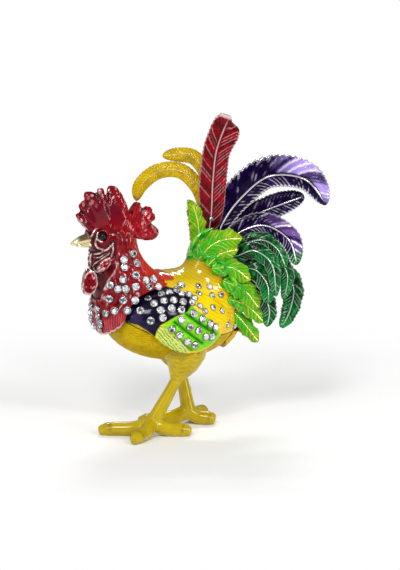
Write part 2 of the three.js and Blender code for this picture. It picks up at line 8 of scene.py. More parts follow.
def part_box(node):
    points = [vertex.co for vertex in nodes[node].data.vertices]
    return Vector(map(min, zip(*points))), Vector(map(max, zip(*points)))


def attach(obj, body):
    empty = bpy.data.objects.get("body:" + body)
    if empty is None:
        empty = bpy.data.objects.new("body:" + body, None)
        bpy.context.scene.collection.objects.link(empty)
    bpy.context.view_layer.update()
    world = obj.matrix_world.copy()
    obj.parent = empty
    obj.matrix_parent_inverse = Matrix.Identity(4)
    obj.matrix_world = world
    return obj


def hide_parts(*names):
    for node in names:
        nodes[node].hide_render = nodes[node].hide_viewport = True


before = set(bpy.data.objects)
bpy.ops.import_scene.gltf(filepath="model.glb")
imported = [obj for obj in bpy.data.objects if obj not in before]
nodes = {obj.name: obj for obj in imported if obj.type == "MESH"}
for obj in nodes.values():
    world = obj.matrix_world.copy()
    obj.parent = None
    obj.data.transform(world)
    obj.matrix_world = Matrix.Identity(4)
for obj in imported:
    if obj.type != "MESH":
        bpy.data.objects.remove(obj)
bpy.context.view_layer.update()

# drawing sizes are millimetres with the hinge pin at this place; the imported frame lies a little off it
millimetre, perMetre = 0.001, 1000
pinSpot = np.array([21.5, 0.0, 33.0])
pinLow, pinHigh = (np.array(corner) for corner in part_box("hinge_pin"))
drawingShift = (pinLow + pinHigh) / 2 - pinSpot * millimetre
sides = (("left", -1), ("right", 1))


def place(points):
    return np.asarray(points, float) * millimetre + drawingShift


def drawingOf(spots):
    return (spots - drawingShift) * perMetre


def unit(vectors):
    return vectors / np.maximum(np.linalg.norm(vectors, axis=-1, keepdims=True), 1e-9)


def ease(low, high, values):  # smooth step from 0 at low to 1 at high
    share = np.clip((values - low) / (high - low), 0, 1)
    return share * share * (3 - 2 * share)


def bell(values, width):
    return np.exp(-(values / width) ** 2)


# halving: draws low and high together, column by column, to the place where the test turns true
def halved(low, high, rounds, test):
    for _ in range(rounds):
        half = (low + high) / 2
        past = test(half)
        low, high = np.where(past, low, half), np.where(past, half, high)
    return low


# smooth line through points: each stretch is a cubic whose end slopes come from root-distance spacing
def smoothLine(points, share):
    spots = np.asarray(points, float)
    spots = np.vstack([2 * spots[0] - spots[1], spots, 2 * spots[-1] - spots[-2]])
    last = len(points) - 1
    stretch = np.clip(np.floor(share * last).astype(int), 0, last - 1)
    t = (share * last - stretch)[:, None]
    a, b, c, d = (spots[stretch + k] for k in range(4))
    steps = (b - a, c - b, d - c)
    gapAB, gapBC, gapCD = (np.sqrt(np.linalg.norm(step, axis=1))[:, None] for step in steps)
    slopeB = ((b - a) / gapAB - (c - a) / (gapAB + gapBC) + (c - b) / gapBC) * gapBC
    slopeC = ((c - b) / gapBC - (d - b) / (gapBC + gapCD) + (d - c) / gapCD) * gapBC
    return ((2 * t**3 - 3 * t**2 + 1) * b + (t**3 - 2 * t**2 + t) * slopeB
            + (3 * t**2 - 2 * t**3) * c + (t**3 - t**2) * slopeC)


# faces over a grid of rings: quads between neighbours, and at both ends a fan to a pole after the grid
def ringFaces(rows, columns, start=0):
    index = start + np.arange(rows * columns).reshape(rows, columns)
    after = np.roll(index, -1, axis=1)
    quads = np.stack([index[:-1], after[:-1], after[1:], index[1:]], axis=-1).reshape(-1, 4)
    first, final = (np.full(columns, start + rows * columns + k) for k in range(2))
    firstFan = np.stack([after[0], index[0], first], axis=-1)
    finalFan = np.stack([index[-1], after[-1], final], axis=-1)
    return quads.tolist() + firstFan.tolist() + finalFan.tolist()


# closed skin over a grid of rings: rows follow one parameter, columns go once round, ends are fans to a pole
def skin(name, rings, marks, body, material, replaced=()):
    rows, columns = rings.shape[:2]
    points = np.vstack([rings.reshape(-1, 3), rings[0].mean(0), rings[-1].mean(0)])
    values = {key: np.asarray(mark, float).reshape(rows * columns, -1) for key, mark in marks.items()}
    values = {key: np.vstack([v, v[:columns].mean(0), v[-columns:].mean(0)]) for key, v in values.items()}
    return meshPiece(name, points, ringFaces(rows, columns), values, body, material, replaced)


# marks on the points of a mesh: a colour has three columns, a plain value one
def addMarks(mesh, values):
    for key, value in values.items():
        if value.shape[1] == 3:
            layer = mesh.attributes.new(key, "FLOAT_COLOR", "POINT")
            colours = np.column_stack([value, np.ones(len(value))])
            layer.data.foreach_set("color", colours.astype(np.float32).ravel())
        else:
            layer = mesh.attributes.new(key, "FLOAT", "POINT")
            layer.data.foreach_set("value", value[:, 0].astype(np.float32))


made = {}


# piece from points and faces, turned outwards if the volume under its faces comes out negative
def meshPiece(name, points, faces, values, body, material, replaced=(), smooth=True):
    points = np.asarray(points, float)
    corners = [face[:3] for face in faces]
    a, b, c = points[np.array(corners)].transpose(1, 0, 2)
    centre = points.mean(0)
    if np.einsum("ij,ij->i", np.cross(a - centre, b - centre), c - centre).sum() < 0:
        faces = [face[::-1] for face in faces]
    mesh = bpy.data.meshes.new(name)
    mesh.from_pydata(place(points).tolist(), [], faces)
    mesh.polygons.foreach_set("use_smooth", np.full(len(mesh.polygons), smooth))
    addMarks(mesh, values)
    mesh.update()
    piece = bpy.data.objects.new(name, mesh)
    bpy.context.scene.collection.objects.link(piece)
    mesh.materials.append(material)
    made[name] = piece
    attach(piece, body)
    if replaced:
        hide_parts(*replaced)
    return piece


# values and links of a shader node, by socket
def wire(tree, node, values, links):
    for socket, value in values.items():
        node.inputs[socket].default_value = value
    for socket, source in links.items():
        tree.links.new(source, node.inputs[socket])
    return node


# new shader node of a kind, its settings by name
def addNode(tree, kind, values, links, **settings):
    node = tree.nodes.new("ShaderNode" + kind)
    for key, setting in settings.items():
        setattr(node, key, setting)
    return wire(tree, node, values, links)


# colour ramp from a first stop at 0 through stops of position and colour
def addRamp(tree, source, *stops):
    ramp = addNode(tree, "ValToRGB", {}, {"Fac": source})
    elements = ramp.color_ramp.elements
    elements[1].position = stops[-1][0]
    for position, _ in stops[1:-1]:
        elements.new(position)
    for element, (_, colour) in zip(elements, stops):
        element.color = (*colour, 1)
    return ramp.outputs["Color"]


def newMaterial(name):
    material = bpy.data.materials.new(name)
    material.use_nodes = True
    return material, material.node_tree, material.node_tree.nodes["Principled BSDF"]


def objectPlace(tree):
    return addNode(tree, "TexCoord", {}, {}).outputs["Object"]


def markOf(tree, name, output="Fac"):
    return addNode(tree, "Attribute", {}, {}, attribute_name=name).outputs[output]


def noise(tree, spot, scale, detail):
    return addNode(tree, "TexNoise", {"Scale": scale, "Detail": detail}, {"Vector": spot}).outputs["Fac"]


def mapped(tree, source, values, **settings):
    return addNode(tree, "MapRange", values, {"Value": source}, **settings).outputs[0]


# enamel over cast metal: the paint mark is its colour, the metal mark is where the plating shows through
enamelSpec = dict(fleckLow=0.25, fleckHigh=0.75, mostMetal=0.85, roughSpan=0.1, grainDeep=0.0002,
                  coatRough=0.05)


def enamel(name, gloss=0.05, coat=0.0, fleck=0.14, fleckScale=800, grain=0.05, grainScale=2600, shine=0.16,
           bare=(0.86, 0.76, 0.5)):
    material, tree, shader = newMaterial(name)
    spot = objectPlace(tree)
    metal = markOf(tree, "metal")
    cloud = noise(tree, spot, fleckScale, 3)
    depth = mapped(tree, cloud, {"From Min": enamelSpec["fleckLow"], "From Max": enamelSpec["fleckHigh"],
                                 "To Min": 1 - fleck, "To Max": 1 + fleck})
    shaded = addNode(tree, "VectorMath", {}, {0: markOf(tree, "paint", "Color"), "Scale": depth},
                     operation="SCALE")
    colour = addNode(tree, "Mix", {7: (*bare, 1)}, {0: metal, 6: shaded.outputs[0]}, data_type="RGBA")
    plating = mapped(tree, metal, {"To Max": enamelSpec["mostMetal"]})
    rough = mapped(tree, cloud, {"To Min": gloss, "To Max": gloss + enamelSpec["roughSpan"]})
    bump = addNode(tree, "Bump", {"Strength": grain, "Distance": enamelSpec["grainDeep"]},
                   {"Height": noise(tree, spot, grainScale, 2)})
    wire(tree, shader, {"Coat Weight": coat, "Coat Roughness": enamelSpec["coatRough"],
                        "Specular IOR Level": shine},
         {"Base Color": colour.outputs[2], "Metallic": plating, "Roughness": rough,
          "Normal": bump.outputs["Normal"]})
    return material


# plain metal or glass: one colour that wanders a little, with fine scratches in its roughness
def plainFinish(name, dark, pale, metallic, gloss, scratch=1800, roughSpan=0.15, shine=0.5):
    material, tree, shader = newMaterial(name)
    cloud = noise(tree, objectPlace(tree), scratch, 4)
    rough = mapped(tree, cloud, {"To Min": gloss, "To Max": gloss + roughSpan})
    wire(tree, shader, {"Metallic": metallic, "Specular IOR Level": shine},
         {"Base Color": addRamp(tree, cloud, (0, dark), (1, pale)), "Roughness": rough})
    return material


# foiled glass: every facet is as light or dark as its painted glint mark says, painted reflections over a
# mirror-like face
def foiledGlass(name, dark=(0.03, 0.03, 0.035), middle=(0.34, 0.34, 0.36), pale=(0.95, 0.95, 0.97)):
    material, tree, shader = newMaterial(name)
    colour = addRamp(tree, markOf(tree, "paintedGlint"), (0, dark), (0.45, middle), (0.85, pale))
    wire(tree, shader, {"Metallic": 0.35, "Roughness": 0.08, "Coat Weight": 0.6, "Coat Roughness": 0.02},
         {"Base Color": colour})
    return material


finishes = {
    "crystal": foiledGlass("crystal on foil"),
    "silver": plainFinish("silvered cups", (0.16, 0.16, 0.17), (0.5, 0.5, 0.52), 1.0, 0.15),
    "glossy": enamel("glossy enamel"),
    "silvered": enamel("enamel on silver", shine=0.1, bare=(0.82, 0.78, 0.84)),
    "minted": enamel("enamel on pale green", gloss=0.03, shine=0.16, bare=(0.62, 0.84, 0.66)),
    "limed": enamel("enamel on green gold", bare=(0.72, 0.74, 0.2)),
    "scrolls": enamel("green scrolls", gloss=0.04, coat=0.3, shine=0.5, bare=(0.72, 0.74, 0.2)),
    "rosy": enamel("enamel on rose metal", gloss=0.04, fleck=0.1, shine=0.12, bare=(0.88, 0.66, 0.66)),
    "hackle": enamel("neck enamel", gloss=0.03, coat=0.05, fleck=0.1, shine=0.2, bare=(0.88, 0.66, 0.66)),
    "fleshy": enamel("comb enamel", gloss=0.03, coat=0.08, fleck=0.1, shine=0.22, bare=(0.9, 0.5, 0.56)),
    "lacquer": enamel("yellow lacquer", gloss=0.03, coat=0.22, fleck=0.04, fleckScale=300, grain=0.03,
                      shine=0.38),
    "carved": enamel("carved enamel", gloss=0.34, fleck=0.18, fleckScale=420, grain=0.5, grainScale=1500,
                     shine=0.08),
    "legs": enamel("leg lacquer", gloss=0.04, coat=0.15, fleck=0.06, fleckScale=300, grain=0.03, shine=0.3),
    "ochre": plainFinish("painted hinge", (0.5, 0.3, 0.003), (0.64, 0.42, 0.004), 0.0, 0.25),
    "steel": plainFinish("hinge steel", (0.4, 0.4, 0.4), (0.62, 0.62, 0.62), 1.0, 0.25),
    "jet": plainFinish("jet glass", (0.002, 0.002, 0.002), (0.008, 0.008, 0.01), 0.0, 0.03, shine=0.2),
}
paints = {
    "crimson": [(0.035, 0.0, 0.001), (0.28, 0.0, 0.006), (0.8, 0.1, 0.17)],
    "mustard": [(0.28, 0.165, 0.0), (0.49, 0.325, 0.001), (0.68, 0.5, 0.006)],
    "lemon": [(0.27, 0.18, 0.0), (0.48, 0.35, 0.001), (0.64, 0.5, 0.004)],
    "saffron": [(0.55, 0.3, 0.0), (0.82, 0.57, 0.001), (0.92, 0.72, 0.01)],
    "lime": [(0.0, 0.17, 0.0), (0.12, 0.33, 0.0), (0.42, 0.52, 0.004)],
    "umber": [(0.08, 0.03, 0.0), (0.3, 0.13, 0.004), (0.45, 0.24, 0.02)],
    "emerald": [(0.0, 0.13, 0.0), (0.0, 0.36, 0.006), (0.16, 0.56, 0.01)],
    "forest": [(0.0, 0.004, 0.001), (0.001, 0.075, 0.012), (0.02, 0.4, 0.075)],
    "violet": [(0.001, 0.0, 0.005), (0.01, 0.002, 0.044), (0.3, 0.17, 0.6)],
}
print("finishes made:", len(finishes))


# enamel colour for a tone from 0 to 1: deep in the grooves, light where it lies thin on a ridge
def painted(kind, tone):
    tone = np.clip(np.asarray(tone, float), 0, 1)
    return np.stack([np.interp(tone, [0, 0.5, 1], [c[k] for c in paints[kind]]) for k in range(3)], axis=-1)


def blended(first, second, share):
    return first + (np.asarray(second) - first) * np.asarray(share)[..., None]


# slow uneven waves in space, in place of noise: the mean of four crossing sines
def wander(points, size, seed=0.0):
    x, y, z = (points[..., k] / size for k in range(3))
    return (np.sin(2.1 * x + 1.3 * z + seed) + np.sin(1.7 * z - 1.1 * y + 2.3 * seed)
            + np.sin(2.7 * y + 0.9 * x + 1.7 * seed) + np.sin(3.9 * x - 2.9 * z + 0.6 * seed)) / 4


# tail feathers: paths are measured from the middle of the hump at the root of the tail
humpMiddle = np.array([12.0, 0.0, 53.0])
nearFace = (-0.3, -1.0, 0.2)
rearFace = (1.0, 0.0, 0.2)
longFeathers = {
    "red_sickle": dict(
        path=[(-2, -1, 12), (-1.3, -2, 20), (-0.8, -2.2, 31), (0.3, -3, 42), (3.4, -4, 51)],
        vanes=(4.8, 4.4), thick=1.9, root=0.5, tipFrom=0.84, pitch=1.35, blunt=0.96,
        lobes=(0.0, 2.8), curl=1.6, tipFlare=0.2, teeth=0.08, kind="crimson"),
    "purple_sickle_top": dict(
        path=[(1, -1, 10), (3, -2.2, 16.6), (9, -4, 25), (17.4, -8, 32.2), (28.2, -13, 31),
              (34.6, -16, 22.6)],
        vanes=(4, 6.8), thick=1.9, root=0.35, tipFrom=0.6, pitch=1.6, kind="violet",
        # lilac painted highlight towards the tip of the outer vane
        paintedSheen=dict(start=0.6, full=0.78, side=-1, share=0.85, colour=(0.4, 0.27, 0.72))),
    "purple_sickle_middle": dict(
        path=[(4, -1, 8), (9.4, -2, 15.8), (17.6, -4.4, 19.8), (24, -6.4, 22.2), (30, -8.6, 24.4)],
        vanes=(3.8, 4.4), thick=1.7, root=0.5, tipFrom=0.6, pitch=1.4, kind="violet"),
    "purple_sickle_low": dict(
        path=[(2, -3, 7), (8.2, -4.6, 13.4), (15.6, -8, 15.6), (22.2, -13, 11), (24.2, -15, 2.8)],
        vanes=(3.4, 4.4), thick=1.8, root=0.5, tipFrom=0.6, pitch=1.4, kind="violet",
        # lilac painted highlight along the outer vane
        paintedSheen=dict(start=0.45, full=0.7, side=-1, share=0.45, colour=(0.3, 0.14, 0.55)),
        tipPaint=dict(kind="forest", start=0.84, full=0.93)),
    "yellow_sickle_long": dict(
        path=[(-2.4, 0.6, 11), (-2.2, 1.4, 20), (-3.4, 3.6, 27.6), (-7.6, 8.4, 33), (-14, 12.4, 32.6),
              (-19, 15.2, 27.8), (-20.2, 16.4, 22.6)],
        vanes=(2.7, 2.5), thick=2, root=0.5, tipFrom=0.75, pitch=1.2, kind="saffron",
        # brown tip: painted shade and painted reflection of the red comb on the tip's underside
        tipPaint=dict(kind="umber", start=0.93, full=0.98)),
    "yellow_sickle_short": dict(
        path=[(0, 1.4, 11), (0.4, 2.6, 22), (0, 4.6, 32), (-2.8, 8.4, 37.2), (-7, 12, 37.8),
              (-11.4, 14.4, 37.4)],
        vanes=(2.6, 2.4), thick=2, root=0.5, tipFrom=0.7, pitch=1.2, kind="saffron"),
}
greenSickles = [
    dict(path=[(3, -3.4, 6.4), (7.2, -5.4, 8.8), (14.2, -9.2, 11), (18.4, -12.2, 8), (20.4, -14.4, 2)],
         vanes=(2.8, 2.8)),
    dict(path=[(2, -4, 4.4), (6, -7, 6), (10.4, -10.4, 8), (15, -14.2, 4.2), (16.2, -16, -7)],
         vanes=(2.8, 3), relief=0.14),
    dict(path=[(4, -3, 3.4), (8, -5.4, 6.2), (16, -10, 6.6), (21.4, -13, 0), (20, -14, -9)],
         vanes=(2.8, 2.8)),
    dict(path=[(4, -2.4, 1), (9, -4.6, 2.8), (18.2, -8, 2.6), (24.6, -11, -5), (23.2, -12, -13),
               (20, -12, -19)],
         vanes=(3.4, 3.6)),
    dict(path=[(3, -4.4, 0.4), (7.8, -7.6, 1.6), (11.2, -11, 1.2), (13.8, -14, -3.4), (13.6, -15.2, -9.4)],
         vanes=(3.4, 3.2), relief=0.06),
    dict(path=[(2, -4, -5), (9, -7.4, -4.6), (13.8, -11, -7.8), (15.4, -12.2, -12.6), (14.6, -12.2, -18)],
         vanes=(3, 3), relief=0.05),
]
limeCoverts = [
    dict(path=[(-5.6, -1.5, 4.5), (-5.3, -1.5, 10.3), (-5.9, -1.5, 17.3), (-8, -1.4, 24.6)],
         vanes=(2.7, 2.9)),
    dict(path=[(-7, -5, 6), (-4.2, -8, 10.6), (0, -9.6, 12.6), (6.4, -9.6, 12.4)], vanes=(3.9, 3.7)),
    dict(path=[(-5, -7.4, 4), (-1, -9.6, 8), (4.6, -10.6, 9)], vanes=(2.5, 2.6)),
    dict(path=[(-4, -8.6, 3), (2.4, -10.6, 3), (8.4, -12.2, -1.6)], vanes=(3.1, 3.1)),
    dict(path=[(0, -8.8, -1.6), (6.6, -10.8, -5), (11.6, -12, -11.4)], vanes=(3.5, 3.5)),
    dict(path=[(2, -8.4, -8), (8.4, -9.8, -10.8), (13.8, -11.2, -16.6)], vanes=(2.8, 2.8)),
    dict(path=[(4.6, -7, -13), (9.2, -7.8, -18.4), (13, -8.6, -23.8)], vanes=(2.5, 2.5)),
]
rumpCoverts = [
    dict(path=[(5, 0, 9), (9.6, 0, 5), (11.6, 0, -3)], vanes=(3, 3)),
    dict(path=[(5, -3, 2), (9.6, -4, -3), (12, -4.6, -11)], vanes=(2.8, 2.8)),
    dict(path=[(5, 3, 2), (9.6, 4, -3), (12, 4.6, -11)], vanes=(2.8, 2.8)),
]

# blade: a lens section carried along the path, full in the middle and round at the tip. Barbs slant back
# from the quill as steps that rise slowly and fall sharply; the quill is a raised line, the edge has teeth
bladeGrid = dict(step=0.26, fewest=56, most=230, across=47, crowd=1.35)
bladeShape = dict(fullFrom=0.5, tipPower=2.2, thinning=0.4, quillThinning=0.6, barbLevel=0.35,
                  lobeEnds=(0.88, 1.0), lobeSplit=(0.1, 0.42))


def blade(path, vanes, thick, root, tipFrom, pitch, face=nearFace, relief=0.2, slant=1.1, teeth=0.1,
          quill=0.24, quillRise=0.34, rim=0.9, dish=0.25, blunt=0.12, lobes=(0.0, 0.0), curl=0.0,
          tipFlare=0.0, wavy=0.0, wavyLong=4.6, seed=0.0):
    rough = smoothLine(path, np.linspace(0, 1, 60))
    long = np.linalg.norm(np.diff(rough, axis=0), axis=1).sum()
    steps = int(np.clip(long / bladeGrid["step"], bladeGrid["fewest"], bladeGrid["most"]))
    share = 1 - (1 - np.linspace(0, 1, steps)) ** bladeGrid["crowd"]
    line = smoothLine(path, share)
    forward = unit(np.gradient(line, axis=0))
    across = unit(np.cross(forward, np.array(face)))
    outward = np.cross(across, forward)
    length = np.concatenate([[0], np.cumsum(np.linalg.norm(np.diff(line, axis=0), axis=1))])[:, None]
    full = root + (1 - root) * np.sin(math.pi / 2 * np.minimum(1, share / bladeShape["fullFrom"]))
    past = np.maximum(0, (share - tipFrom) / (1 - tipFrom))
    full = (full * np.sqrt(1 - (1 - blunt * blunt) * past ** bladeShape["tipPower"]))[:, None]
    spread = np.linspace(-1, 1, bladeGrid["across"])  # close together at the quill and at the edges
    spread = np.sign(spread) * (0.62 * np.abs(spread) ** 1.8 + 0.38 * np.sin(math.pi / 2 * np.abs(spread)))
    u = np.concatenate([spread, spread[-2:0:-1]])[None]
    upper = np.concatenate([np.ones(len(spread)), -np.ones(len(spread) - 2)])[None]
    w = upper * np.sqrt(np.maximum(0, 1 - u * u))
    reach = np.where(u > 0, vanes[0], vanes[1]) * full
    swell = np.sin(2 * math.pi * length / wavyLong + seed + 1.7 * np.sign(u))
    reach = reach * (1 + wavy * swell * ease(0.1, 0.3, share)[:, None])
    reach = reach * (1 + tipFlare * ease(0.7, 0.9, share)[:, None] * (u > 0))
    sideways = np.abs(u) * reach
    phase = (length - slant * sideways) / pitch
    beat = np.mod(phase, 1)
    step = beat**0.8 * (1 - ease(0.8, 1.0, beat))
    edgeBeat = np.mod((length - slant * reach) / pitch, 1)
    tooth = edgeBeat * (1 - ease(0.75, 1.0, edgeBeat))
    half = thick / 2 * (1 - bladeShape["thinning"] * share[:, None])
    flat = ease(0.06, 0.3, np.abs(u)) * ease(0, 0.06, 1 - np.abs(u))
    quillHigh = 1 - bladeShape["quillThinning"] * share[:, None]
    ridge = bell(sideways, quill) * quillHigh
    level = bladeShape["barbLevel"]
    lift = relief * (step - level) * flat + quillRise * ridge
    spot = u * reach * (1 + teeth * (tooth - level) * ease(0.08, 0.3, share)[:, None])
    height = w * half - dish * half * u * u + upper * lift * ease(0, 0.1, 1 - np.abs(u))
    atTip = ease(*bladeShape["lobeEnds"], share)[:, None]
    left = 1 - ease(*bladeShape["lobeSplit"], u)
    farther = lobes[1] - lobes[0]
    edgeBack = (0.25 + 0.35 * left) * farther * ease(0.5, 1.0, np.abs(u)) ** 2
    edgeBack = edgeBack + 0.5 * farther * ease(0.78, 1.0, u) ** 2
    ahead = atTip * (lobes[0] + farther * left - edgeBack)
    height = height + curl * atTip**2 * left
    rings = (line[:, None] + across[:, None] * spot[..., None] + outward[:, None] * height[..., None]
             + forward[:, None] * ahead[..., None])
    chance = np.mod(np.sin(np.floor(phase) * 12.99 + np.sign(u) * 4.1) * 437.58, 1)  # one value per barb
    quillLine = ease(0.4, 0.75, ridge / quillHigh) * (1 - ease(0.9, 1, share))[:, None]
    marks = dict(blot=wander(rings, 1.5, seed + 0.4), share=share[:, None] + 0 * u, u=u + 0 * share[:, None],
                 step=step, chance=chance, flat=flat, crest=bell(beat - 0.72, 0.1) * flat, quill=quillLine,
                 rim=ease(rim, rim + 0.07, np.abs(u)) * ease(0.03, 0.15, share)[:, None],
                 roll=atTip**3 * left * (1 if curl else 0))
    return rings, marks


# how each kind of enamel lies on a blade: ground tone, thin light crests, and where the plating is left
# bare, partly as painted glints
featherLook = {
    "crimson": dict(ground=0.22, step=0.5, tip=0.0, crest=0.25, bareCrest=0.32, bareRim=0.5, quill=0.55,
                    blots=0.5, rootShadeLevel=0.2),
    "violet": dict(ground=0.08, step=0.36, tip=0.1, crest=0.15, bareCrest=0.65, bareRim=0.9, bead=1.0,
                   blots=0.6),
    "forest": dict(ground=0.05, step=0.4, tip=0.5, crest=0.2, bareCrest=0.45, bareRim=0.85, quill=0.75,
                   thick=0.8, thin=0.5),
    "lime": dict(ground=0.26, step=0.35, tip=0.25, crest=0.25, bareCrest=0.4, bareRim=0.85, thin=0.35),
    "saffron": dict(ground=0.3, step=0.35, tip=0.0, crest=0.3, bareCrest=0.1, bareRim=0.1, quill=0.25,
                    shade=0.72, thick=0.7, specks=0.7),
}
barbUneven = 0.16
# streak is the white of the painted highlight streaks inside the sheen
featherTints = dict(lime=(0.5, 0.5, 0.004), forest=(0.006, 0.22, 0.036), saffron=(0.36, 0.26, 0.002),
                    violet=(0.03, 0.006, 0.1), highlightStreak=(0.8, 0.74, 0.92))


# colour and bare metal of a blade from its marks
def featherPaint(kind, m, paintedSheen=None, tipPaint=None):
    look = featherLook[kind]
    tone = look["ground"] + look["step"] * (m["step"] - 0.3) * m["flat"] + look["tip"] * m["share"] ** 2
    tone = tone + barbUneven * (m["chance"] - 0.5)
    paint = painted(kind, tone + look["crest"] * m["crest"] * ease(0.35, 0.8, m["chance"]))
    if kind == "lime":  # emerald where the enamel pools at the root and along the quill
        pool = (1 - ease(0.05, 0.4, m["share"])) + ease(0.0, 0.25, m["blot"]) * (1 - m["share"] ** 2)
        paint = blended(paint, painted("emerald", 0.45 + 0.3 * m["step"]), np.clip(pool, 0, 1))
        paint = blended(paint, featherTints["lime"], look["thin"] * ease(0.15, 0.5, -m["blot"]) * m["share"])
    if kind == "forest":  # bright where the enamel is thin, nearly black where it is deep
        paint = paint * (1 - look["thick"] * ease(-0.1, 0.4, m["blot"]) * (1 - m["share"] ** 3))[..., None]
        paint = blended(paint, featherTints["forest"], look["thin"] * ease(0.1, 0.5, -m["blot"]) * m["flat"])
    if kind == "saffron":  # olive where it lies thick, brown specks towards the root
        paint = paint * look["shade"]
        paint = blended(paint, featherTints["saffron"], look["thick"] * ease(0.05, 0.45, m["blot"]))
        specks = look["specks"] * ease(0.2, 0.5, -m["blot"]) * (1 - ease(0.35, 0.6, m["share"]))
        paint = blended(paint, painted("umber", 0.5), specks)
    if kind == "crimson":  # darker in blots, and painted shade towards the root
        paint = paint * (1 - look["blots"] * ease(0.0, 0.5, m["blot"]))[..., None]
        light = look["rootShadeLevel"]
        paint = paint * (light + (1 - light) * ease(0.0, 0.45, m["share"]))[..., None]
    if kind == "violet":
        paint = blended(paint, featherTints["violet"], look["blots"] * ease(0.1, 0.5, m["blot"]))
    if paintedSheen:  # painted sheen: a lilac painted highlight on the outer vane towards the tip, with white painted highlight streaks
        patch = ease(paintedSheen["start"], paintedSheen["full"], m["share"]) * ease(0.08, 0.2, paintedSheen["side"] * m["u"])
        paint = blended(paint, paintedSheen["colour"], paintedSheen["share"] * patch * ease(0.12, 0.4, m["chance"]))
        highlightStreaks = patch * ease(0.7, 0.85, m["chance"]) * ease(0.3, 0.6, m["step"])
        paint = blended(paint, featherTints["highlightStreak"], highlightStreaks)
    if tipPaint:
        tipTone = 0.55 + 0.3 * (m["step"] - 0.4)
        tipShare = ease(tipPaint["start"], tipPaint["full"], m["share"])
        paint = blended(paint, painted(tipPaint["kind"], tipTone), tipShare)
    bareEdge = look["bareRim"] * m["rim"] * (0.3 + 0.7 * ease(-0.3, 0.2, m["blot"]))
    metal = np.maximum(look.get("quill", 1) * m["quill"], bareEdge)
    beads = ease(0.78, 0.9, m["u"]) * ease(0.25, 0.45, m["step"]) * look.get("bead", 0)
    # beads on the inner edge are bare plating; the rolled tip's bare lip is partly a painted highlight
    metal = np.maximum(metal, np.maximum(beads, 0.8 * ease(0.6, 0.9, m["roll"])))
    # bare plating on barb crests: wear, and painted glints along the barbs
    wearAndGlint = ease(0.45, 0.75, m["chance"]) * ease(-0.35, 0.1, m["blot"])
    metal = np.maximum(metal, look["bareCrest"] * m["crest"] * wearAndGlint)
    return paint, np.clip(metal, 0, 1)


def mirrored(points):
    return [(x, -y, z) for x, y, z in points]


def onHump(points):
    return [tuple(np.array(p) + humpMiddle) for p in points]


bladeDefaults = dict(thick=1.7, root=0.6, tipFrom=0.55, pitch=1.15)
paintKeys = ("kind", "paintedSheen", "tipPaint")
platings = {"violet": "silvered", "forest": "minted", "crimson": "rosy", "lime": "limed",
            "saffron": "glossy"}


def addFeather(name, spec, kind, face=nearFace):
    form = {**bladeDefaults, **{key: value for key, value in spec.items() if key not in paintKeys}}
    form["path"] = onHump(form["path"])
    rings, m = blade(face=face, **form)
    paint, metal = featherPaint(kind, m, spec.get("paintedSheen"), spec.get("tipPaint"))
    return skin(name, rings, {"paint": paint, "metal": metal}, "lid", finishes[platings[kind]], [name])


# keeps the far second covert out of the near outline
farCovertStart = [(-2.6, 4.2, 5.6), (-2.2, 8.0, 10.2)]
tailCut = dict(forest=dict(pitch=1.3, relief=0.22, teeth=0.14, wavy=0.05),
               lime=dict(pitch=1.9, relief=0.34, slant=1.3, teeth=0.16, quill=0.26, rim=0.88, wavy=0.13,
                         dish=0.7))
seedStep = 1.9
farFace = (nearFace[0], -nearFace[1], nearFace[2])
for name, spec in longFeathers.items():
    addFeather(name, spec, spec["kind"])
for group, specs, kind in (("green_sickle", greenSickles, "forest"), ("lime_covert", limeCoverts, "lime")):
    for count, spec in enumerate(specs, 1):
        spec = {**tailCut[kind], "seed": seedStep * count, **spec}
        addFeather(f"left_{group}_{count}", spec, kind)
        farPath = mirrored(spec["path"])
        if group == "lime_covert" and count == 2:
            farPath[:2] = farCovertStart
        addFeather(f"right_{group}_{count}", {**spec, "path": farPath}, kind, farFace)
for count, spec in enumerate(rumpCoverts, 1):
    addFeather(f"rump_covert_{count}", {**tailCut["lime"], **spec}, "lime", rearFace)
print("tail feathers made")

# photograph's view: right and up across the picture, used to draw the painted fields on both flanks alike
photoView = dict(azimuth=-25.0, elevation=13.0)
turn, rise = math.radians(photoView["azimuth"]), math.radians(photoView["elevation"])
viewBack = np.array([math.sin(turn) * math.cos(rise), -math.cos(turn) * math.cos(rise), math.sin(rise)])
viewRight = np.array([math.cos(turn), math.sin(turn), 0.0])
viewUp = np.cross(viewBack, viewRight)


# picture place of points, with the right side of the bird folded onto the left
def pictureOf(points):
    folded = points * np.array([1, 0, 1]) - np.abs(points) * np.array([0, 1, 0])
    return np.stack([folded @ viewRight, folded @ viewUp], axis=-1)


# distance of picture places from a line of points
def fromLine(places, line):
    line = np.asarray(line, float)
    a, b = line[:-1], line[1:]
    along = np.clip(((places[..., None, :] - a) * (b - a)).sum(-1) / ((b - a) ** 2).sum(-1), 0, 1)
    return np.linalg.norm(places[..., None, :] - (a + (b - a) * along[..., None]), axis=-1).min(-1)


# distance inside a closed outline: positive within, negative outside; crossings of a level ray tell which
def insideOutline(places, outline):
    ring = np.asarray(list(outline) + [outline[0]], float)
    a, b = ring[:-1], ring[1:]
    x, y = places[..., None, 0], places[..., None, 1]
    level = (a[:, 1] > y) != (b[:, 1] > y)
    rise = np.where(b[:, 1] == a[:, 1], 1e-9, b[:, 1] - a[:, 1])
    crossing = a[:, 0] + (y - a[:, 1]) * (b[:, 0] - a[:, 0]) / rise
    inside = (level & (x < crossing)).sum(-1) % 2 == 1
    return np.where(inside, 1, -1) * fromLine(places, ring)


# outward direction at every point of a grid of rings
def gridNormals(rings, inner):
    along = np.gradient(rings, axis=0)
    around = (np.roll(rings, -1, axis=1) - np.roll(rings, 1, axis=1)) / 2
    normals = unit(np.cross(around, along))
    facing = np.sign(((rings - np.asarray(inner)) * normals).sum(-1).sum())
    return normals * facing


